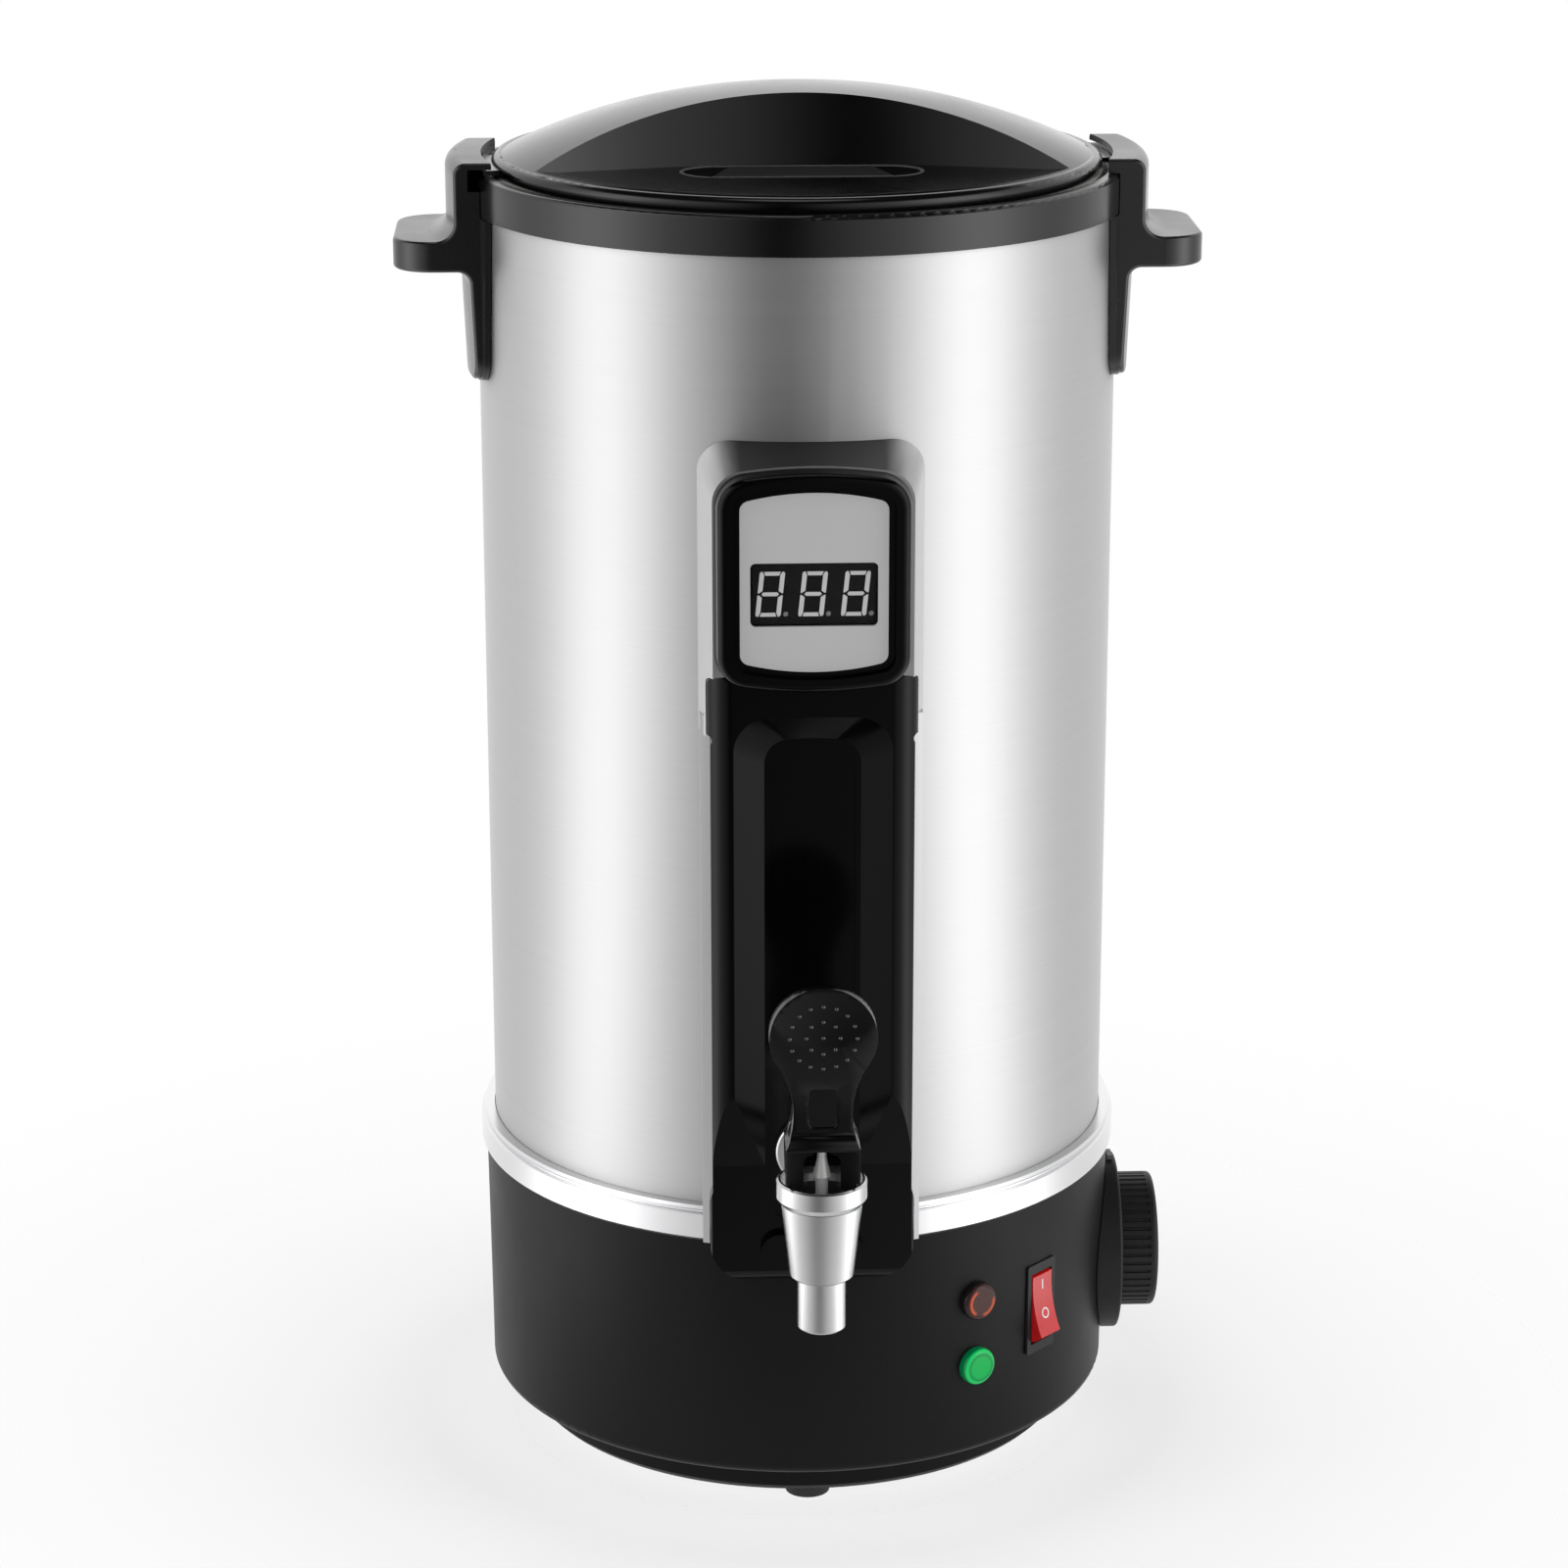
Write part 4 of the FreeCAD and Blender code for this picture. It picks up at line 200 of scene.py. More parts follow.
# ---- node helpers -----------------------------------------------------------------------------
class Tree:
    """Small wrapper that adds and links shader nodes of one material."""

    def __init__(self, name):
        self.material = bpy.data.materials.new(name)
        self.material.use_nodes = True
        self.nodes = self.material.node_tree.nodes
        self.links = self.material.node_tree.links
        self.nodes.clear()
        output = self.nodes.new("ShaderNodeOutputMaterial")
        self.shader = self.nodes.new("ShaderNodeBsdfPrincipled")
        self.links.new(self.shader.outputs[0], output.inputs["Surface"])
        self.place = self.nodes.new("ShaderNodeTexCoord").outputs["Object"]

    def plug(self, value, socket):
        if hasattr(value, "is_linked"):
            self.links.new(value, socket)
        else:
            socket.default_value = value

    def set(self, name, value):
        self.plug(value, self.shader.inputs[name])

    def math(self, operation, a, b=0.0, clamp=False):
        node = self.nodes.new("ShaderNodeMath")
        node.operation = operation
        node.use_clamp = clamp
        self.plug(a, node.inputs[0])
        self.plug(b, node.inputs[1])
        return node.outputs[0]

    def share(self, a, b, of_a):
        """Sum of a share of one value and the rest of another."""
        return self.math("ADD", self.math("MULTIPLY", a, of_a), self.math("MULTIPLY", b, 1 - of_a))

    def length(self, a, b):
        squares = self.math("ADD", self.math("MULTIPLY", a, a), self.math("MULTIPLY", b, b))
        return self.math("SQRT", squares)

    def mapped(self, scale=(1, 1, 1), turn=(0, 0, 0)):
        """The place on the object, scaled and turned."""
        node = self.nodes.new("ShaderNodeMapping")
        self.links.new(self.place, node.inputs["Vector"])
        node.inputs["Rotation"].default_value = turn
        node.inputs["Scale"].default_value = scale
        return node.outputs[0]

    def noise(self, repeats, detail=3.0, rough=0.55):
        """Noise with so many repeats in a metre: one number, or one for each axis."""
        node = self.nodes.new("ShaderNodeTexNoise")
        scale = repeats if isinstance(repeats, tuple) else (repeats,) * 3
        self.links.new(self.mapped(scale), node.inputs["Vector"])
        node.inputs["Scale"].default_value = 1.0
        node.inputs["Detail"].default_value = detail
        node.inputs["Roughness"].default_value = rough
        return node.outputs["Fac"]

    def spread(self, value, low, high, from_low=0.25, from_high=0.75):
        node = self.nodes.new("ShaderNodeMapRange")
        self.links.new(value, node.inputs["Value"])
        node.inputs["From Min"].default_value = from_low
        node.inputs["From Max"].default_value = from_high
        node.inputs["To Min"].default_value = low
        node.inputs["To Max"].default_value = high
        return node.outputs[0]

    def rise(self, value, start, end):
        return self.spread(value, 0, 1, start, end)

    def fall(self, value, start, end):
        return self.spread(value, 1, 0, start, end)

    def mixed(self, factor, a, b):
        node = self.nodes.new("ShaderNodeMix")
        node.data_type = "RGBA"
        self.plug(factor, node.inputs["Factor"])
        self.plug(a if hasattr(a, "is_linked") else (*a, 1), node.inputs["A"])
        self.plug(b if hasattr(b, "is_linked") else (*b, 1), node.inputs["B"])
        return node.outputs["Result"]

    def bump(self, height, distance):
        node = self.nodes.new("ShaderNodeBump")
        node.inputs["Strength"].default_value = 1.0
        node.inputs["Distance"].default_value = distance
        self.links.new(height, node.inputs["Height"])
        self.links.new(node.outputs[0], self.shader.inputs["Normal"])

    def parts(self, vector):
        node = self.nodes.new("ShaderNodeSeparateXYZ")
        self.links.new(vector, node.inputs[0])
        return node.outputs

    def normal_parts(self):
        return self.parts(self.nodes.new("ShaderNodeNewGeometry").outputs["Normal"])


def shade(colour, factor):
    return tuple(min(1.0, c * factor) for c in colour)


def tinted(tree, noise, colour, tint):
    """A colour that goes a little darker and lighter with a noise."""
    return tree.mixed(noise, shade(colour, 1 - tint), shade(colour, 1 + tint))


def uneven_gloss(tree, rough, main, spread, fine):
    """Roughness that wanders with a main noise, and slightly with a second."""
    slight = tree.spread(fine, -FINE_GLOSS, FINE_GLOSS)
    uneven = tree.math("ADD", tree.spread(main, -spread, spread), slight)
    return tree.math("ADD", uneven, rough, clamp=True)


# ---- kinds of finish ----------------------------------------------------------------------------
def moulded(name, colour, rough, grain=1500.0, depth=0.00004, tint=0.12, spread=0.05, **sockets):
    """Moulded, painted or rubber finish: fine grain, uneven gloss and slight changes of tone."""
    tree = Tree(name)
    fine = tree.noise(grain, detail=2.0)
    cloud = tree.noise(MOULDED_CLOUDS)
    tree.set("Base Color", tinted(tree, cloud, colour, tint))
    tree.set("Roughness", uneven_gloss(tree, rough, cloud, spread, fine))
    tree.bump(fine, depth)
    for socket, value in sockets.items():
        tree.set(socket.replace("_", " "), value)
    return tree.material


def metal(name, colour, rough, stretch, depth=0.00002, tint=0.06, spread=0.06):
    """Metal with directional scratches: stretch is how finely they repeat along X, Y and Z."""
    tree = Tree(name)
    scratch = tree.noise(stretch, detail=4.0, rough=0.65)
    cloud = tree.noise(METAL_CLOUDS, detail=2.0)
    tree.set("Base Color", tinted(tree, scratch, colour, tint))
    tree.set("Roughness", uneven_gloss(tree, rough, scratch, spread, cloud))
    tree.set("Metallic", 1.0)
    tree.bump(scratch, depth)
    return tree.material


def brushed_round(name, colour, rough, anisotropy):
    """Sheet brushed round the Z axis: fine level lines, and highlights drawn out up and down."""
    tree = Tree(name)
    fine = tree.noise(DRUM_FINE, detail=5.0, rough=0.7)
    streak = tree.noise(DRUM_STREAK, rough=0.6)
    lines = tree.share(fine, streak, DRUM_FINE_SHARE)
    both = tree.share(lines, tree.noise(DRUM_BROAD), DRUM_LINES_SHARE)
    tree.set("Base Color", tinted(tree, both, colour, DRUM_TINT))
    tree.set("Roughness", tree.spread(both, rough - DRUM_GLOSS, rough + DRUM_GLOSS))
    tree.set("Metallic", 1.0)
    tree.set("Anisotropic", anisotropy)
    tree.set("Anisotropic Rotation", 0.25)
    tangent = tree.nodes.new("ShaderNodeTangent")
    tangent.direction_type = "RADIAL"
    tangent.axis = "Z"
    tree.links.new(tangent.outputs[0], tree.shader.inputs["Tangent"])
    tree.bump(fine, DRUM_DEPTH)
    return tree.material


def smoked_window():
    """Thin smoked acrylic: mostly see-through, with a clear gloss."""
    tree = Tree("window_smoke")
    cloud = tree.noise(160.0)
    tree.set("Base Color", tree.mixed(cloud, (0.006, 0.006, 0.006), (0.010, 0.010, 0.010)))
    tree.set("Roughness", tree.spread(cloud, 0.05, 0.09))
    tree.set("Alpha", 0.13)
    return tree.material


def red_rocker():
    """Glossy red translucent plastic."""
    tree = Tree("rocker_red")
    cloud = tree.noise(260.0)
    tree.set("Base Color", tree.mixed(cloud, (0.50, 0.006, 0.008), (0.66, 0.012, 0.014)))
    tree.set("Roughness", tree.spread(cloud, 0.16, 0.24))
    tree.set("Subsurface Weight", 0.15)
    tree.set("Subsurface Scale", 0.002)
    tree.set("Coat Weight", 0.4)
    return tree.material


def frame_silver():
    """Silver paint, with painted shade: the middle of the head's top slope is painted darker, standing
    in for a dark reflection.
    """
    tree = Tree("frame_silver")
    scratch = tree.noise((60, 60, 900), detail=4.0, rough=0.65)
    silver = tree.mixed(scratch, (0.53, 0.53, 0.535), (0.56, 0.56, 0.565))
    # painted shade: a mask of the top slope's middle, which is painted dark grey below
    slope = tree.rise(tree.normal_parts()[2], *HEAD_SLOPE)
    reach = tree.math("ABSOLUTE", tree.parts(tree.place)[0])
    inner = tree.fall(reach, HEAD_PAINTED_SHADE_HALF, HEAD_PAINTED_SHADE_FADE_HALF)
    tree.set("Base Color", tree.mixed(tree.math("MULTIPLY", slope, inner), silver, (0.12, 0.12, 0.12)))
    tree.set("Roughness", tree.spread(scratch, 0.28, 0.32))
    tree.set("Metallic", 1.0)
    tree.bump(scratch, 0.000002)
    return tree.material


def painted_highlight_edge(tree):
    """Mask of the painted highlight: one on edges that face forward and sideways, above the lever's
    foot.
    """
    x, y, _ = tree.normal_parts()
    ahead = tree.rise(tree.math("MULTIPLY", y, -1.0), *PAINTED_HIGHLIGHT_AHEAD)
    edge = tree.math("MULTIPLY", ahead, tree.rise(tree.math("ABSOLUTE", x), *PAINTED_HIGHLIGHT_ASIDE))
    return tree.math("MULTIPLY", edge, tree.rise(tree.parts(tree.place)[2], *PAINTED_HIGHLIGHT_Z))


def inside_hood(tree):
    """One inside the hollow of the lever's foot."""
    x, y, z = tree.parts(tree.place)
    reach = tree.length(x, tree.math("SUBTRACT", y, HOOD_AXIS_Y))
    return tree.math("MULTIPLY", tree.fall(reach, *HOOD_FADE_R), tree.fall(z, *HOOD_FADE_Z))


def lever_black():
    """Glossy black lever, with a painted highlight making its rounded edges paler, and matt inside the
    hollow of its foot.
    """
    tree = Tree("lever_black")
    fine = tree.noise(1500.0, detail=2.0)
    black = tree.mixed(fine, (0.0012, 0.0012, 0.0012), (0.0022, 0.0022, 0.0022))
    # painted highlight: pale grey on the rounded edges, standing in for light caught there
    tree.set("Base Color", tree.mixed(painted_highlight_edge(tree), black, (0.13, 0.13, 0.13)))
    matt = tree.math("MULTIPLY", inside_hood(tree), HOOD_MATT)
    tree.set("Roughness", tree.math("ADD", tree.spread(fine, 0.19, 0.23), matt, clamp=True))
    tree.set("Specular IOR Level", 0.32)
    tree.bump(fine, 0.000002)
    return tree.material


# ---- indicator lamps ----------------------------------------------------------------------------
def middle(node):
    low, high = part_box(node)
    return (low + high) / 2


def arc_mask(tree, across, up, reach, directions):
    """One where the angle about the lamp's axis lies within an arc, nought elsewhere."""
    total = 0.0
    for degrees, half in directions:
        angle = math.radians(degrees)
        along = tree.math("ADD", tree.math("MULTIPLY", across, math.cos(angle)),
                          tree.math("MULTIPLY", up, math.sin(angle)))
        cosine = tree.math("DIVIDE", along, reach)
        edge = math.cos(math.radians(half))
        total = tree.math("ADD", tree.rise(cosine, edge - ARC_SOFT, edge + ARC_SOFT), total, clamp=True)
    return total


def lamp_zones(tree, node, colours, arcs, lines):
    """Colour of a lens in zones about its own axis, with dark stripes; arcs is where the ring shows."""
    core, ring, rim, edge = colours
    centre = middle(node)
    turned_centre = Matrix.Rotation(-LAMP_AZ, 3, "Z") @ centre
    _, y, z = tree.parts(tree.mapped(turn=(0, 0, -LAMP_AZ)))
    across = tree.math("SUBTRACT", y, turned_centre.y)
    up = tree.math("SUBTRACT", z, centre.z)
    reach = tree.length(across, up)
    radius = tree.math("DIVIDE", reach, LAMP_LENS_R)
    if arcs:
        ring = tree.mixed(arc_mask(tree, across, up, reach, arcs), rim, ring)
    to_ring = tree.rise(radius, *LAMP_RING)
    colour = tree.mixed(to_ring, core, ring)
    colour = tree.mixed(tree.rise(radius, *LAMP_RIM), colour, rim)
    colour = tree.mixed(tree.rise(radius, *LAMP_EDGE), colour, edge)
    stripe = tree.math("SINE", tree.math("MULTIPLY", up, math.tau / LAMP_STRIPE))
    dark = tree.math("MULTIPLY", tree.spread(stripe, 0, lines, -1, 1), tree.math("SUBTRACT", 1, to_ring))
    return tree.mixed(dark, colour, (0.01, 0.005, 0.005))


def lamp_finish(name, node, colours, arcs, glow, lines):
    """Glossy lens of an indicator lamp: colours are those of its core, ring, rim and edge."""
    tree = Tree(name)
    colour = lamp_zones(tree, node, colours, arcs, lines)
    tree.set("Base Color", colour)
    tree.set("Roughness", tree.spread(tree.noise(500.0), 0.10, 0.2))
    tree.set("Specular IOR Level", 0.25)
    if glow:
        tree.set("Emission Color", colour)
        tree.set("Emission Strength", glow)
    return tree.material


# ---- finishes: one for each slot of the record, and those of the small details --------------------
FINISH_LIST = (
    brushed_round("brushed_drum", (0.56, 0.56, 0.56), 0.54, 0.75),
    brushed_round("pot_steel", (0.62, 0.62, 0.61), 0.36, 0.5),
    metal("bright_trim", (0.74, 0.74, 0.75), 0.24, (40, 40, 2600), depth=0.000001, tint=0.03,
          spread=0.03),
    moulded("collar_black", (0.003, 0.003, 0.003), 0.21, depth=0.000004),
    moulded("handle_black", (0.004, 0.004, 0.004), 0.26, depth=0.000005, Specular_IOR_Level=0.6),
    moulded("lid_black", (0.002, 0.002, 0.002), 0.16, grain=700, depth=0.0000006,
            Specular_IOR_Level=0.42),
    moulded("inset_grey", (0.10, 0.10, 0.10), 0.30),
    moulded("well_dark", (0.004, 0.004, 0.004), 0.5, grain=2500, Specular_IOR_Level=0.03),
    moulded("field_grey", (0.022, 0.022, 0.022), 0.36, grain=2500, Specular_IOR_Level=0.18),
    moulded("seal_silicone", (0.62, 0.61, 0.58), 0.45, grain=700),
    moulded("base_black", (0.004, 0.004, 0.004), 0.42, grain=2400, Specular_IOR_Level=0.14),
    moulded("pan_black", (0.004, 0.004, 0.004), 0.48, grain=2400, Specular_IOR_Level=0.12),
    metal("screw_steel", (0.60, 0.60, 0.58), 0.32, (900, 900, 900)),
    moulded("foot_rubber", (0.012, 0.012, 0.012), 0.7, grain=1100, depth=0.00008),
    frame_silver(),
    moulded("gloss_black", (0.001, 0.001, 0.001), 0.15, depth=0.000001, spread=0.02,
            Specular_IOR_Level=0.16),
    moulded("label_grey", (0.48, 0.48, 0.48), 0.5, grain=3000, depth=0.00001, tint=0.02),
    smoked_window(),
    moulded("display_dark", (0.005, 0.005, 0.005), 0.5, Specular_IOR_Level=0.2),
    moulded("segment_white", (0.97, 0.97, 0.96), 0.5, grain=5000, depth=0.000005, tint=0.05),
    moulded("point_grey", (0.30, 0.30, 0.30), 0.5, grain=5000, depth=0.000005, tint=0.05),
    moulded("board_green", (0.03, 0.14, 0.05), 0.4),
    metal("tap_chrome", (0.58, 0.58, 0.585), 0.24, (50, 50, 1800), depth=0.000002, tint=0.03,
          spread=0.03),
    moulded("tap_black", (0.002, 0.002, 0.002), 0.5, depth=0.00001, Specular_IOR_Level=0.15),
    metal("stem_steel", (0.66, 0.66, 0.65), 0.28, (300, 300, 3000), depth=0.000002),
    moulded("stem_satin", (0.80, 0.80, 0.79), 0.34, depth=0.000005, tint=0.04, Metallic=0.2),
    lever_black(),
    moulded("dot_sheen", (0.016, 0.016, 0.016), 0.25, grain=3000, depth=0.000002,
            Specular_IOR_Level=1.0),
    moulded("switch_black", (0.016, 0.017, 0.017), 0.4, Specular_IOR_Level=0.2),
    red_rocker(),
    moulded("mark_white", (0.86, 0.80, 0.80), 0.4, grain=4000, depth=0.000005, tint=0.02),
    lamp_finish("lamp_red", "red_lamp", glow=0.0, lines=0.8, arcs=((176, 58), (-38, 46)),
                colours=((0.085, 0.022, 0.016), (0.55, 0.075, 0.02),
                         (0.045, 0.014, 0.012), (0.012, 0.010, 0.010))),
    lamp_finish("lamp_green", "green_lamp", glow=0.22, lines=0.1, arcs=(),
                colours=((0.002, 0.40, 0.075), (0.0, 0.26, 0.06),
                         (0.004, 0.52, 0.11), (0.0, 0.16, 0.05))),
    moulded("knob_black", (0.004, 0.004, 0.004), 0.5, Specular_IOR_Level=0.3),
    moulded("pointer_grey", (0.10, 0.10, 0.10), 0.45),
    metal("heater_aluminium", (0.66, 0.66, 0.66), 0.45, (400, 400, 400)),
    metal("element_steel", (0.34, 0.31, 0.29), 0.42, (500, 500, 500), tint=0.2),
    moulded("terminal_cream", (0.60, 0.57, 0.47), 0.5),
    metal("contact_brass", (0.72, 0.55, 0.26), 0.3, (700, 700, 700)),
)
FINISHES = {finish.name.partition(".")[0]: finish for finish in FINISH_LIST}
OWN_FINISH = {"tap_lever": "lever_black", "tap_stem": "stem_satin"}     # not their slot's


def dress_nodes():
    """Give every CAD node the finish of its slot, or its own."""
    for entry in frame["record"]["subparts"]:
        node = NODES[entry["node"]]
        finish = FINISHES[OWN_FINISH.get(entry["node"], entry["material_slot"])]
        if not node.material_slots:
            node.data.materials.append(finish)
        for slot in node.material_slots:
            slot.material = finish


def soften_edges():
    """Round the edges of CAD nodes with modifiers, which leave their meshes as they are."""
    for name, width in SOFT_EDGES:
        if name in JOINED_FIRST:
            weld = NODES[name].modifiers.new("weld", "WELD")
            weld.merge_threshold = JOIN_REACH
        bevel = NODES[name].modifiers.new("soft_edge", "BEVEL")
        bevel.width = width * MM
        bevel.segments = SOFT_EDGE_SEGMENTS
        bevel.limit_method = "ANGLE"
        bevel.angle_limit = SOFT_EDGE_ANGLE
        bevel.harden_normals = True


# ---- small mesh helpers -------------------------------------------------------------------------
def mesh_object(name, bm, slot=None, body=None, smooth=False):
    """Object from a bmesh, with a finish and a body to ride on unless it is stage."""
    mesh = bpy.data.meshes.new(name)
    bm.normal_update()
    bm.to_mesh(mesh)
    bm.free()
    piece = bpy.data.objects.new(name, mesh)
    bpy.context.scene.collection.objects.link(piece)
    mesh.polygons.foreach_set("use_smooth", [smooth] * len(mesh.polygons))
    if slot:
        mesh.materials.append(FINISHES[slot])
    if body:
        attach(piece, body)
    return piece


def slab(bm, outline, lift):
    """Closed plate from an outline of points, thickened along the vector lift."""
    low = [bm.verts.new(p) for p in outline]
    high = [bm.verts.new(Vector(p) + Vector(lift)) for p in outline]
    bm.faces.new(high)
    bm.faces.new(list(reversed(low)))
    count = len(outline)
    for i in range(count):
        j = (i + 1) % count
        bm.faces.new((low[i], low[j], high[j], high[i]))


def join_loops(bm, loops, after):
    """Faces between each loop of points and the one after it."""
    for a, b in zip(loops, after):
        for j in range(len(a)):
            k = (j + 1) % len(a)
            bm.faces.new((a[j], a[k], b[k], b[j]))


def turned_outward(bm):
    bmesh.ops.recalc_face_normals(bm, faces=bm.faces)
    return bm


def surface_of(node):
    bm = bmesh.new()
    bm.from_mesh(NODES[node].data)
    tree = BVHTree.FromBMesh(bm)
    bm.free()
    return tree


def circle(radius, count):
    """Points round a circle, as pairs."""
    angles = (math.tau * k / count for k in range(count))
    return [(radius * math.cos(angle), radius * math.sin(angle)) for angle in angles]


# ---- display ------------------------------------------------------------------------------------
def segment_outlines():
    """The seven segments of one digit as flat outlines, centred, before slanting."""
    w, h, t, bar, g = DIGIT_W / 2, DIGIT_H / 2, DIGIT_STROKE, DIGIT_BAR, DIGIT_GAP
    top = [(-w + t + g, h - bar), (w - t - g, h - bar),
           (w - LEVEL_CUT * t - g, h), (-w + LEVEL_CUT * t + g, h)]
    bottom = [(x, -y) for x, y in reversed(top)]
    centre = [(-w + CENTRE_CUT * t + g, 0), (-w + t + g, -bar / 2), (w - t - g, -bar / 2),
              (w - CENTRE_CUT * t - g, 0), (w - t - g, bar / 2), (-w + t + g, bar / 2)]
    side = [(-w, g), (-w + SIDE_CUT * t, g), (-w + t, g + t / 2), (-w + t, h - SIDE_INNER * bar),
            (-w + CENTRE_CUT * t, h), (-w + SIDE_CUT * t, h), (-w, h - SIDE_SHOULDER * t)]
    shapes = [top, bottom, centre]
    for flip_x, flip_y in ((1, 1), (-1, 1), (1, -1), (-1, -1)):
        points = [(x * flip_x, y * flip_y) for x, y in side]
        shapes.append(points if flip_x * flip_y > 0 else list(reversed(points)))
    return shapes


def display_digits():
    """Three digits, and the point to the right of each, on the face of the light module."""
    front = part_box("display_module")[0].y
    centre = middle("display_module")
    digits, points = bmesh.new(), bmesh.new()

    def lay(bm, shape, middle_x):
        slab(bm, [(middle_x + x + y * DIGIT_SLANT, front, centre.z + y) for x, y in shape],
             (0, -DIGIT_THICK, 0))

    point_x, point_y = DIGIT_W / 2 + POINT_ASIDE, -DIGIT_H / 2 + POINT_R
    for index in (-1, 0, 1):
        middle_x = centre.x + DIGIT_SHIFT + index * DIGIT_PITCH
        for shape in segment_outlines():
            lay(digits, shape, middle_x)
        lay(points, [(point_x + x, point_y + y) for x, y in circle(POINT_R, POINT_SIDES)], middle_x)
    mesh_object("display_digits", turned_outward(digits), "segment_white", "root")
    mesh_object("display_points", turned_outward(points), "point_grey", "root")


# ---- lever --------------------------------------------------------------------------------------
def lever_dots():
    """Low round dots, laid on the thumb pad wherever its surface is."""
    tree = surface_of("tap_lever")
    size = Matrix.Diagonal((DOT_R, DOT_R, DOT_H, 1))
    bm = bmesh.new()
    for radius, count in DOT_RINGS:
        for x, z in circle(radius, count):
            spot, normal, _, _ = tree.ray_cast(Vector((x, AHEAD_Y, PAD_Z + z)), Vector((0, 1, 0)))
            if normal.y > 0:
                normal.negate()
            turn = normal.to_track_quat("Z", "Y").to_matrix().to_4x4()
            bmesh.ops.create_uvsphere(bm, u_segments=DOT_SIDES[0], v_segments=DOT_SIDES[1], radius=1,
                                      matrix=Matrix.Translation(spot) @ turn @ size)
    mesh_object("lever_grip_dots", bm, "dot_sheen", "tap_lever", smooth=True)


def lever_groove_web():
    """Thin floor of the neck's groove, in front of the stem's eye."""
    low, high = GROOVE_WEB_LOW, GROOVE_WEB_HIGH
    bm = bmesh.new()
    slab(bm, [(-GROOVE_WEB_HALF, GROOVE_WEB_Y, low), (GROOVE_WEB_HALF, GROOVE_WEB_Y, low),
              (GROOVE_WEB_HALF, GROOVE_WEB_Y, high), (-GROOVE_WEB_HALF, GROOVE_WEB_Y, high)],
         (0, -GROOVE_WEB_T, 0))
    mesh_object("lever_groove_web", turned_outward(bm), "lever_black", "tap_lever")


def lever_back_web():
    """Wall across the back of the lever's foot, behind the stem."""
    bm = bmesh.new()
    slab(bm, [(-BACK_WEB_HALF, TAP_AXIS_Y + y * MM, z * MM) for y, z in BACK_WEB_SIDE],
         (2 * BACK_WEB_HALF, 0, 0))
    mesh_object("lever_back_web", turned_outward(bm), "tap_black", "tap_lever")


# ---- rocker -------------------------------------------------------------------------------------
def rocker_face():
    """A function from a place across and a height to the point so proud of the rocker's face."""
    tree = surface_of("rocker")
    centre = middle("rocker")
    out = Vector((math.cos(SWITCH_AZ), math.sin(SWITCH_AZ), 0))
    side = Vector((-math.sin(SWITCH_AZ), math.cos(SWITCH_AZ), 0))

    def on_face(across, z, proud):
        start = Vector((centre.x, centre.y, z)) + side * across + out * SWITCH_CLEAR
        spot, _, _, _ = tree.ray_cast(start, -out)
        return spot + out * proud

    return on_face


def mark_section(bm, on_face, first, second):
    """Corners of a mark's section between two places, from just under the face to proud of it."""
    corners = ((first, -MARK_PROUD), (first, MARK_PROUD), (second, MARK_PROUD), (second, -MARK_PROUD))
    return [bm.verts.new(on_face(*spot, proud)) for spot, proud in corners]


def rocker_marks():
    """I and O, laid on the rocker's hollowed face wherever it is."""
    low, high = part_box("rocker")
    on_face = rocker_face()
    bm = bmesh.new()
    width, height = MARK_I_SIZE
    top = high.z - MARK_I_DROP + height / 2
    heights = (top - height * k / MARK_I_STEPS for k in range(MARK_I_STEPS + 1))
    rows = [mark_section(bm, on_face, (-width / 2, z), (width / 2, z)) for z in heights]
    join_loops(bm, rows, rows[1:])
    bm.faces.new(rows[0])
    bm.faces.new(list(reversed(rows[-1])))
    z = low.z + MARK_O_RISE
    inner, outer = (circle(radius, MARK_O_STEPS) for radius in MARK_O_RADII)
    loops = [mark_section(bm, on_face, (a, z + b), (c, z + d)) for (a, b), (c, d) in zip(inner, outer)]
    join_loops(bm, loops, loops[1:] + loops[:1])
    mesh_object("rocker_marks", turned_outward(bm), "mark_white", "rocker")


# ---- lid ----------------------------------------------------------------------------------------
def lid_plate_well():
    """Dark lining of the plate's well, round at both ends like the plate."""
    low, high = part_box("lid_inset")
    centre = middle("lid_inset")
    base = high.z - PLATE_WELL
    half_w = (high.x - low.x) / 2 - PLATE_EDGE
    half_d = (high.y - low.y) / 2 - PLATE_EDGE
    corner = half_d * WELL_ROUND
    outline = []
    for quarter, (sx, sy) in enumerate(((1, 1), (-1, 1), (-1, -1), (1, -1))):
        for k in range(WELL_CORNER_STEPS + 1):
            angle = math.radians(90 * quarter + 90 * k / WELL_CORNER_STEPS)
            outline.append((centre.x + sx * (half_w - corner) + corner * math.cos(angle),
                            centre.y + sy * (half_d - corner) + corner * math.sin(angle), base))
    bm = bmesh.new()
    slab(bm, outline, (0, 0, WELL_T))
    mesh_object("lid_plate_well", bm, "well_dark", "lid")


def lid_plate_field():
    """Paler field on the lining, wider at the front, with its upper edges rounded."""
    low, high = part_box("lid_inset")
    base = high.z - PLATE_WELL + WELL_T
    back = high.y - PLATE_EDGE
    front = low.y + PLATE_EDGE
    bm = bmesh.new()
    slab(bm, [(-FIELD_FRONT_HALF, front, base), (FIELD_FRONT_HALF, front, base),
              (FIELD_BACK_HALF, back, base), (-FIELD_BACK_HALF, back, base)], (0, 0, FIELD_T))
    edges = [e for e in bm.edges if all(v.co.z > base for v in e.verts)]
    bmesh.ops.bevel(bm, geom=edges, offset=FIELD_BEVEL, segments=2, affect="EDGES")
    mesh_object("lid_plate_field", bm, "field_grey", "lid")


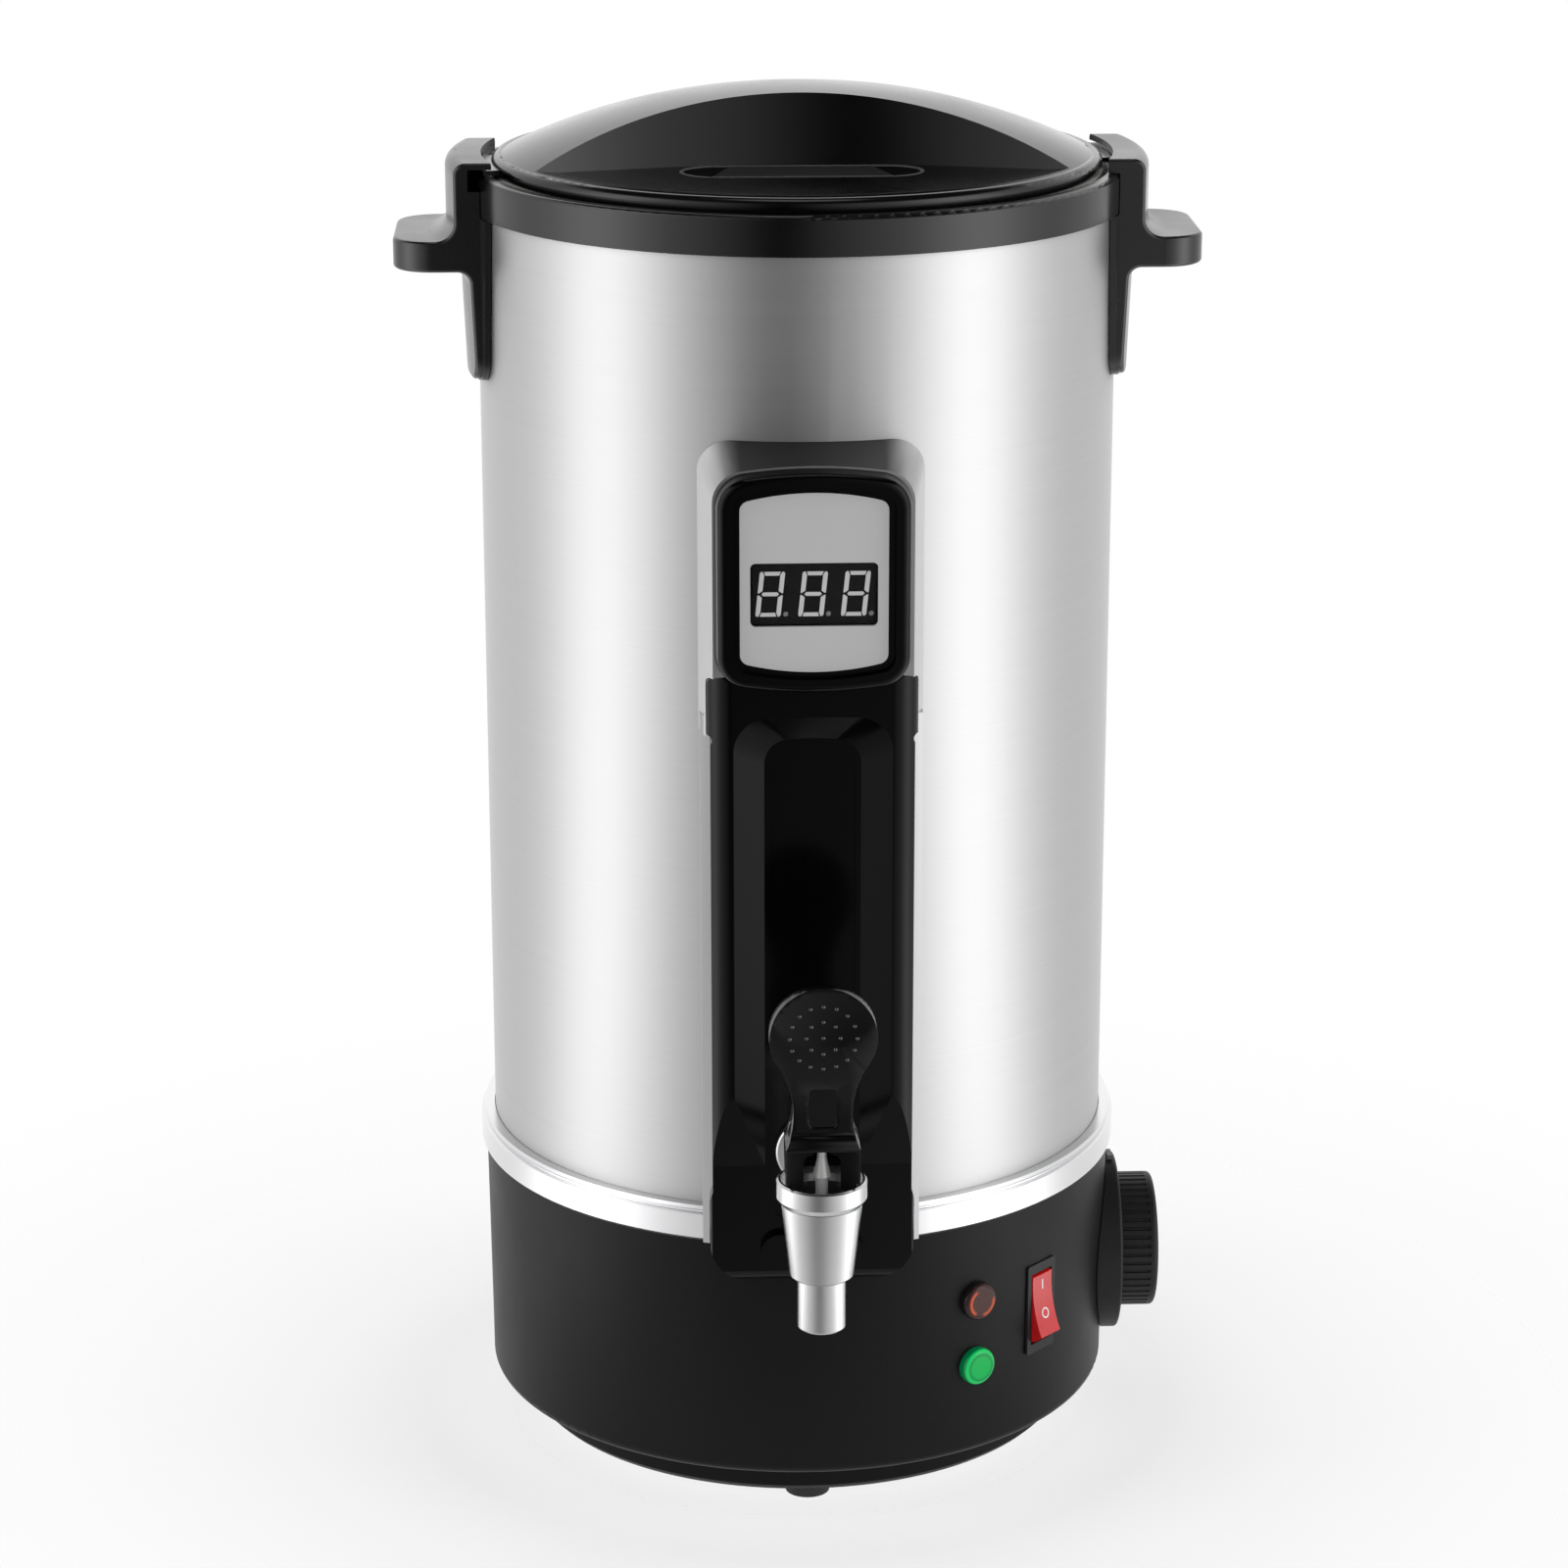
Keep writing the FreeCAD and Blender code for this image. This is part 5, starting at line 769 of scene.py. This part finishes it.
# ---- studio -------------------------------------------------------------------------------------
def studio_floor():
    """Pale round floor that shows under and close to the object, and clears into the white world."""
    tree = Tree("studio_floor")
    cloud = tree.noise(FLOOR_CLOUDS)
    tree.set("Base Color", tree.mixed(cloud, (0.93, 0.93, 0.93), (0.95, 0.95, 0.95)))
    tree.set("Roughness", tree.spread(cloud, 0.88, 0.92))
    tree.set("Specular IOR Level", 0.0)
    x, y, _ = tree.parts(tree.place)
    far = tree.length(x, y)
    near = tree.spread(far, FLOOR_UNDER, FLOOR_SHADE, FLOOR_UNDER_R, FLOOR_SHADE_R)
    tree.set("Alpha", tree.math("MULTIPLY", near, tree.fall(far, FLOOR_SHADE_R, FLOOR_CLEAR_R)))
    bm = bmesh.new()
    bmesh.ops.create_circle(bm, cap_ends=True, segments=FLOOR_SIDES, radius=FLOOR_R)
    floor = mesh_object("studio_floor", bm)
    floor.data.materials.append(tree.material)


def card_tone(azimuth, ring):
    """Brightness of the card on a ring at an azimuth: dark in front, with bright zones at the sides."""
    if ring >= len(CARD_PROFILE) - OVERHEAD_RINGS:
        return OVERHEAD_TONE
    if ring >= len(CARD_PROFILE) - CEILING_RINGS:
        return CEILING_TONE
    dark_share, glow_share = CARD_PROFILE[ring][2:]
    dark = math.exp(-((azimuth - DARK_AZ) / DARK_WIDTH) ** 2)
    tone = CARD_TONE * (1 - DARK_DEPTH * dark_share * dark)
    for middle_az, width, strength in GLOWS:
        away = abs((azimuth - middle_az + 180) % 360 - 180)
        tone += glow_share * strength * math.exp(-(away / width) ** 2)
    return tone


def card_mesh():
    """The card's profile turned round the object, with its tone at every point."""
    bm = bmesh.new()
    tones = bm.verts.layers.float.new(TONE_LAYER)
    columns = []
    for k in range(CARD_STEPS):
        azimuth = 360 * k / CARD_STEPS - 180
        angle = math.radians(azimuth)
        column = []
        for ring, (r, z, _, _) in enumerate(CARD_PROFILE):
            column.append(bm.verts.new((r * math.sin(angle), -r * math.cos(angle), z)))
            column[-1][tones] = card_tone(azimuth, ring)
        columns.append(column)
    for a, b in zip(columns, columns[1:] + columns[:1]):
        for j in range(len(CARD_PROFILE) - 1):
            bm.faces.new((a[j], b[j], b[j + 1], a[j + 1]))
    return bm


def card_glow():
    """Finish that shines with the tone stored in the mesh."""
    material = bpy.data.materials.new("reflection_card")
    material.use_nodes = True
    nodes, links = material.node_tree.nodes, material.node_tree.links
    nodes.clear()
    tone = nodes.new("ShaderNodeAttribute")
    tone.attribute_name = TONE_LAYER
    glow = nodes.new("ShaderNodeEmission")
    out = nodes.new("ShaderNodeOutputMaterial")
    links.new(tone.outputs["Fac"], glow.inputs["Strength"])
    links.new(glow.outputs[0], out.inputs["Surface"])
    return material


def reflection_card():
    """Curved card round the object, closed by a dark ceiling, that polished faces reflect."""
    card = mesh_object("reflection_card", card_mesh())
    card.data.materials.append(card_glow())
    card.visible_camera = False
    card.visible_diffuse = False
    card.visible_shadow = False
    card.visible_transmission = False


def area_light(name, radiance, size, place, aim):
    """Soft rectangular light that polished faces don't see."""
    light = bpy.data.lights.new(name, "AREA")
    light.shape = "RECTANGLE"
    light.size, light.size_y = size
    light.energy = radiance * math.pi * size[0] * size[1]
    lamp = bpy.data.objects.new(name, light)
    bpy.context.scene.collection.objects.link(lamp)
    lamp.visible_glossy = False
    lamp.location = place
    lamp.rotation_euler = (Vector(aim) - Vector(place)).to_track_quat("-Z", "Y").to_euler()


def studio_lights():
    """Upright soft lights at azimuths seen from the front, and one above."""
    for name, azimuth in SOFTBOX_AZIMUTHS:
        angle = math.radians(azimuth)
        place = (SOFTBOX_REACH * math.sin(angle), -SOFTBOX_REACH * math.cos(angle), SOFTBOX_Z)
        area_light(name, SOFTBOX_RADIANCE, SOFTBOX_SIZE, place, (0, 0, SOFTBOX_Z))
    area_light("top_light", TOP_LIGHT_RADIANCE, TOP_LIGHT_SIZE, TOP_LIGHT_PLACE, TOP_LIGHT_AIM)


def world_light():
    """White world: full white to the lens and to polished faces, a little less to matt ones."""
    world = bpy.data.worlds.new("studio")
    bpy.context.scene.world = world
    world.use_nodes = True
    nodes, links = world.node_tree.nodes, world.node_tree.links
    background = nodes["Background"]
    background.inputs["Color"].default_value = (1, 1, 1, 1)
    path = nodes.new("ShaderNodeLightPath")
    seen = path.outputs["Is Camera Ray"]
    for ray in ("Is Glossy Ray", "Is Transmission Ray"):
        add = nodes.new("ShaderNodeMath")
        add.operation = "ADD"
        add.use_clamp = True
        links.new(seen, add.inputs[0])
        links.new(path.outputs[ray], add.inputs[1])
        seen = add.outputs[0]
    strength = nodes.new("ShaderNodeMapRange")
    links.new(seen, strength.inputs["Value"])
    strength.inputs["To Min"].default_value = WORLD_DIFFUSE
    strength.inputs["To Max"].default_value = WORLD_SEEN
    links.new(strength.outputs[0], background.inputs["Strength"])


def studio_camera():
    data = bpy.data.cameras.new("camera")
    data.lens = CAMERA_LENS
    data.sensor_width = CAMERA_SENSOR
    data.shift_x = CAMERA_SHIFT
    data.clip_end = CAMERA_REACH
    camera = bpy.data.objects.new("camera", data)
    bpy.context.scene.collection.objects.link(camera)
    camera.location = CAMERA_PLACE
    level = math.cos(CAMERA_PITCH)
    aim = Vector((math.sin(CAMERA_YAW) * level, math.cos(CAMERA_YAW) * level, -math.sin(CAMERA_PITCH)))
    camera.rotation_mode = "QUATERNION"
    camera.rotation_quaternion = aim.to_track_quat("-Z", "Y")
    bpy.context.scene.camera = camera


# ---- build --------------------------------------------------------------------------------------
studio_camera()
world_light()
studio_floor()
reflection_card()
studio_lights()
dress_nodes()
soften_edges()
display_digits()
lever_dots()
lever_groove_web()
lever_back_web()
rocker_marks()
lid_plate_well()
lid_plate_field()
bpy.context.scene.view_settings.view_transform = "Standard"
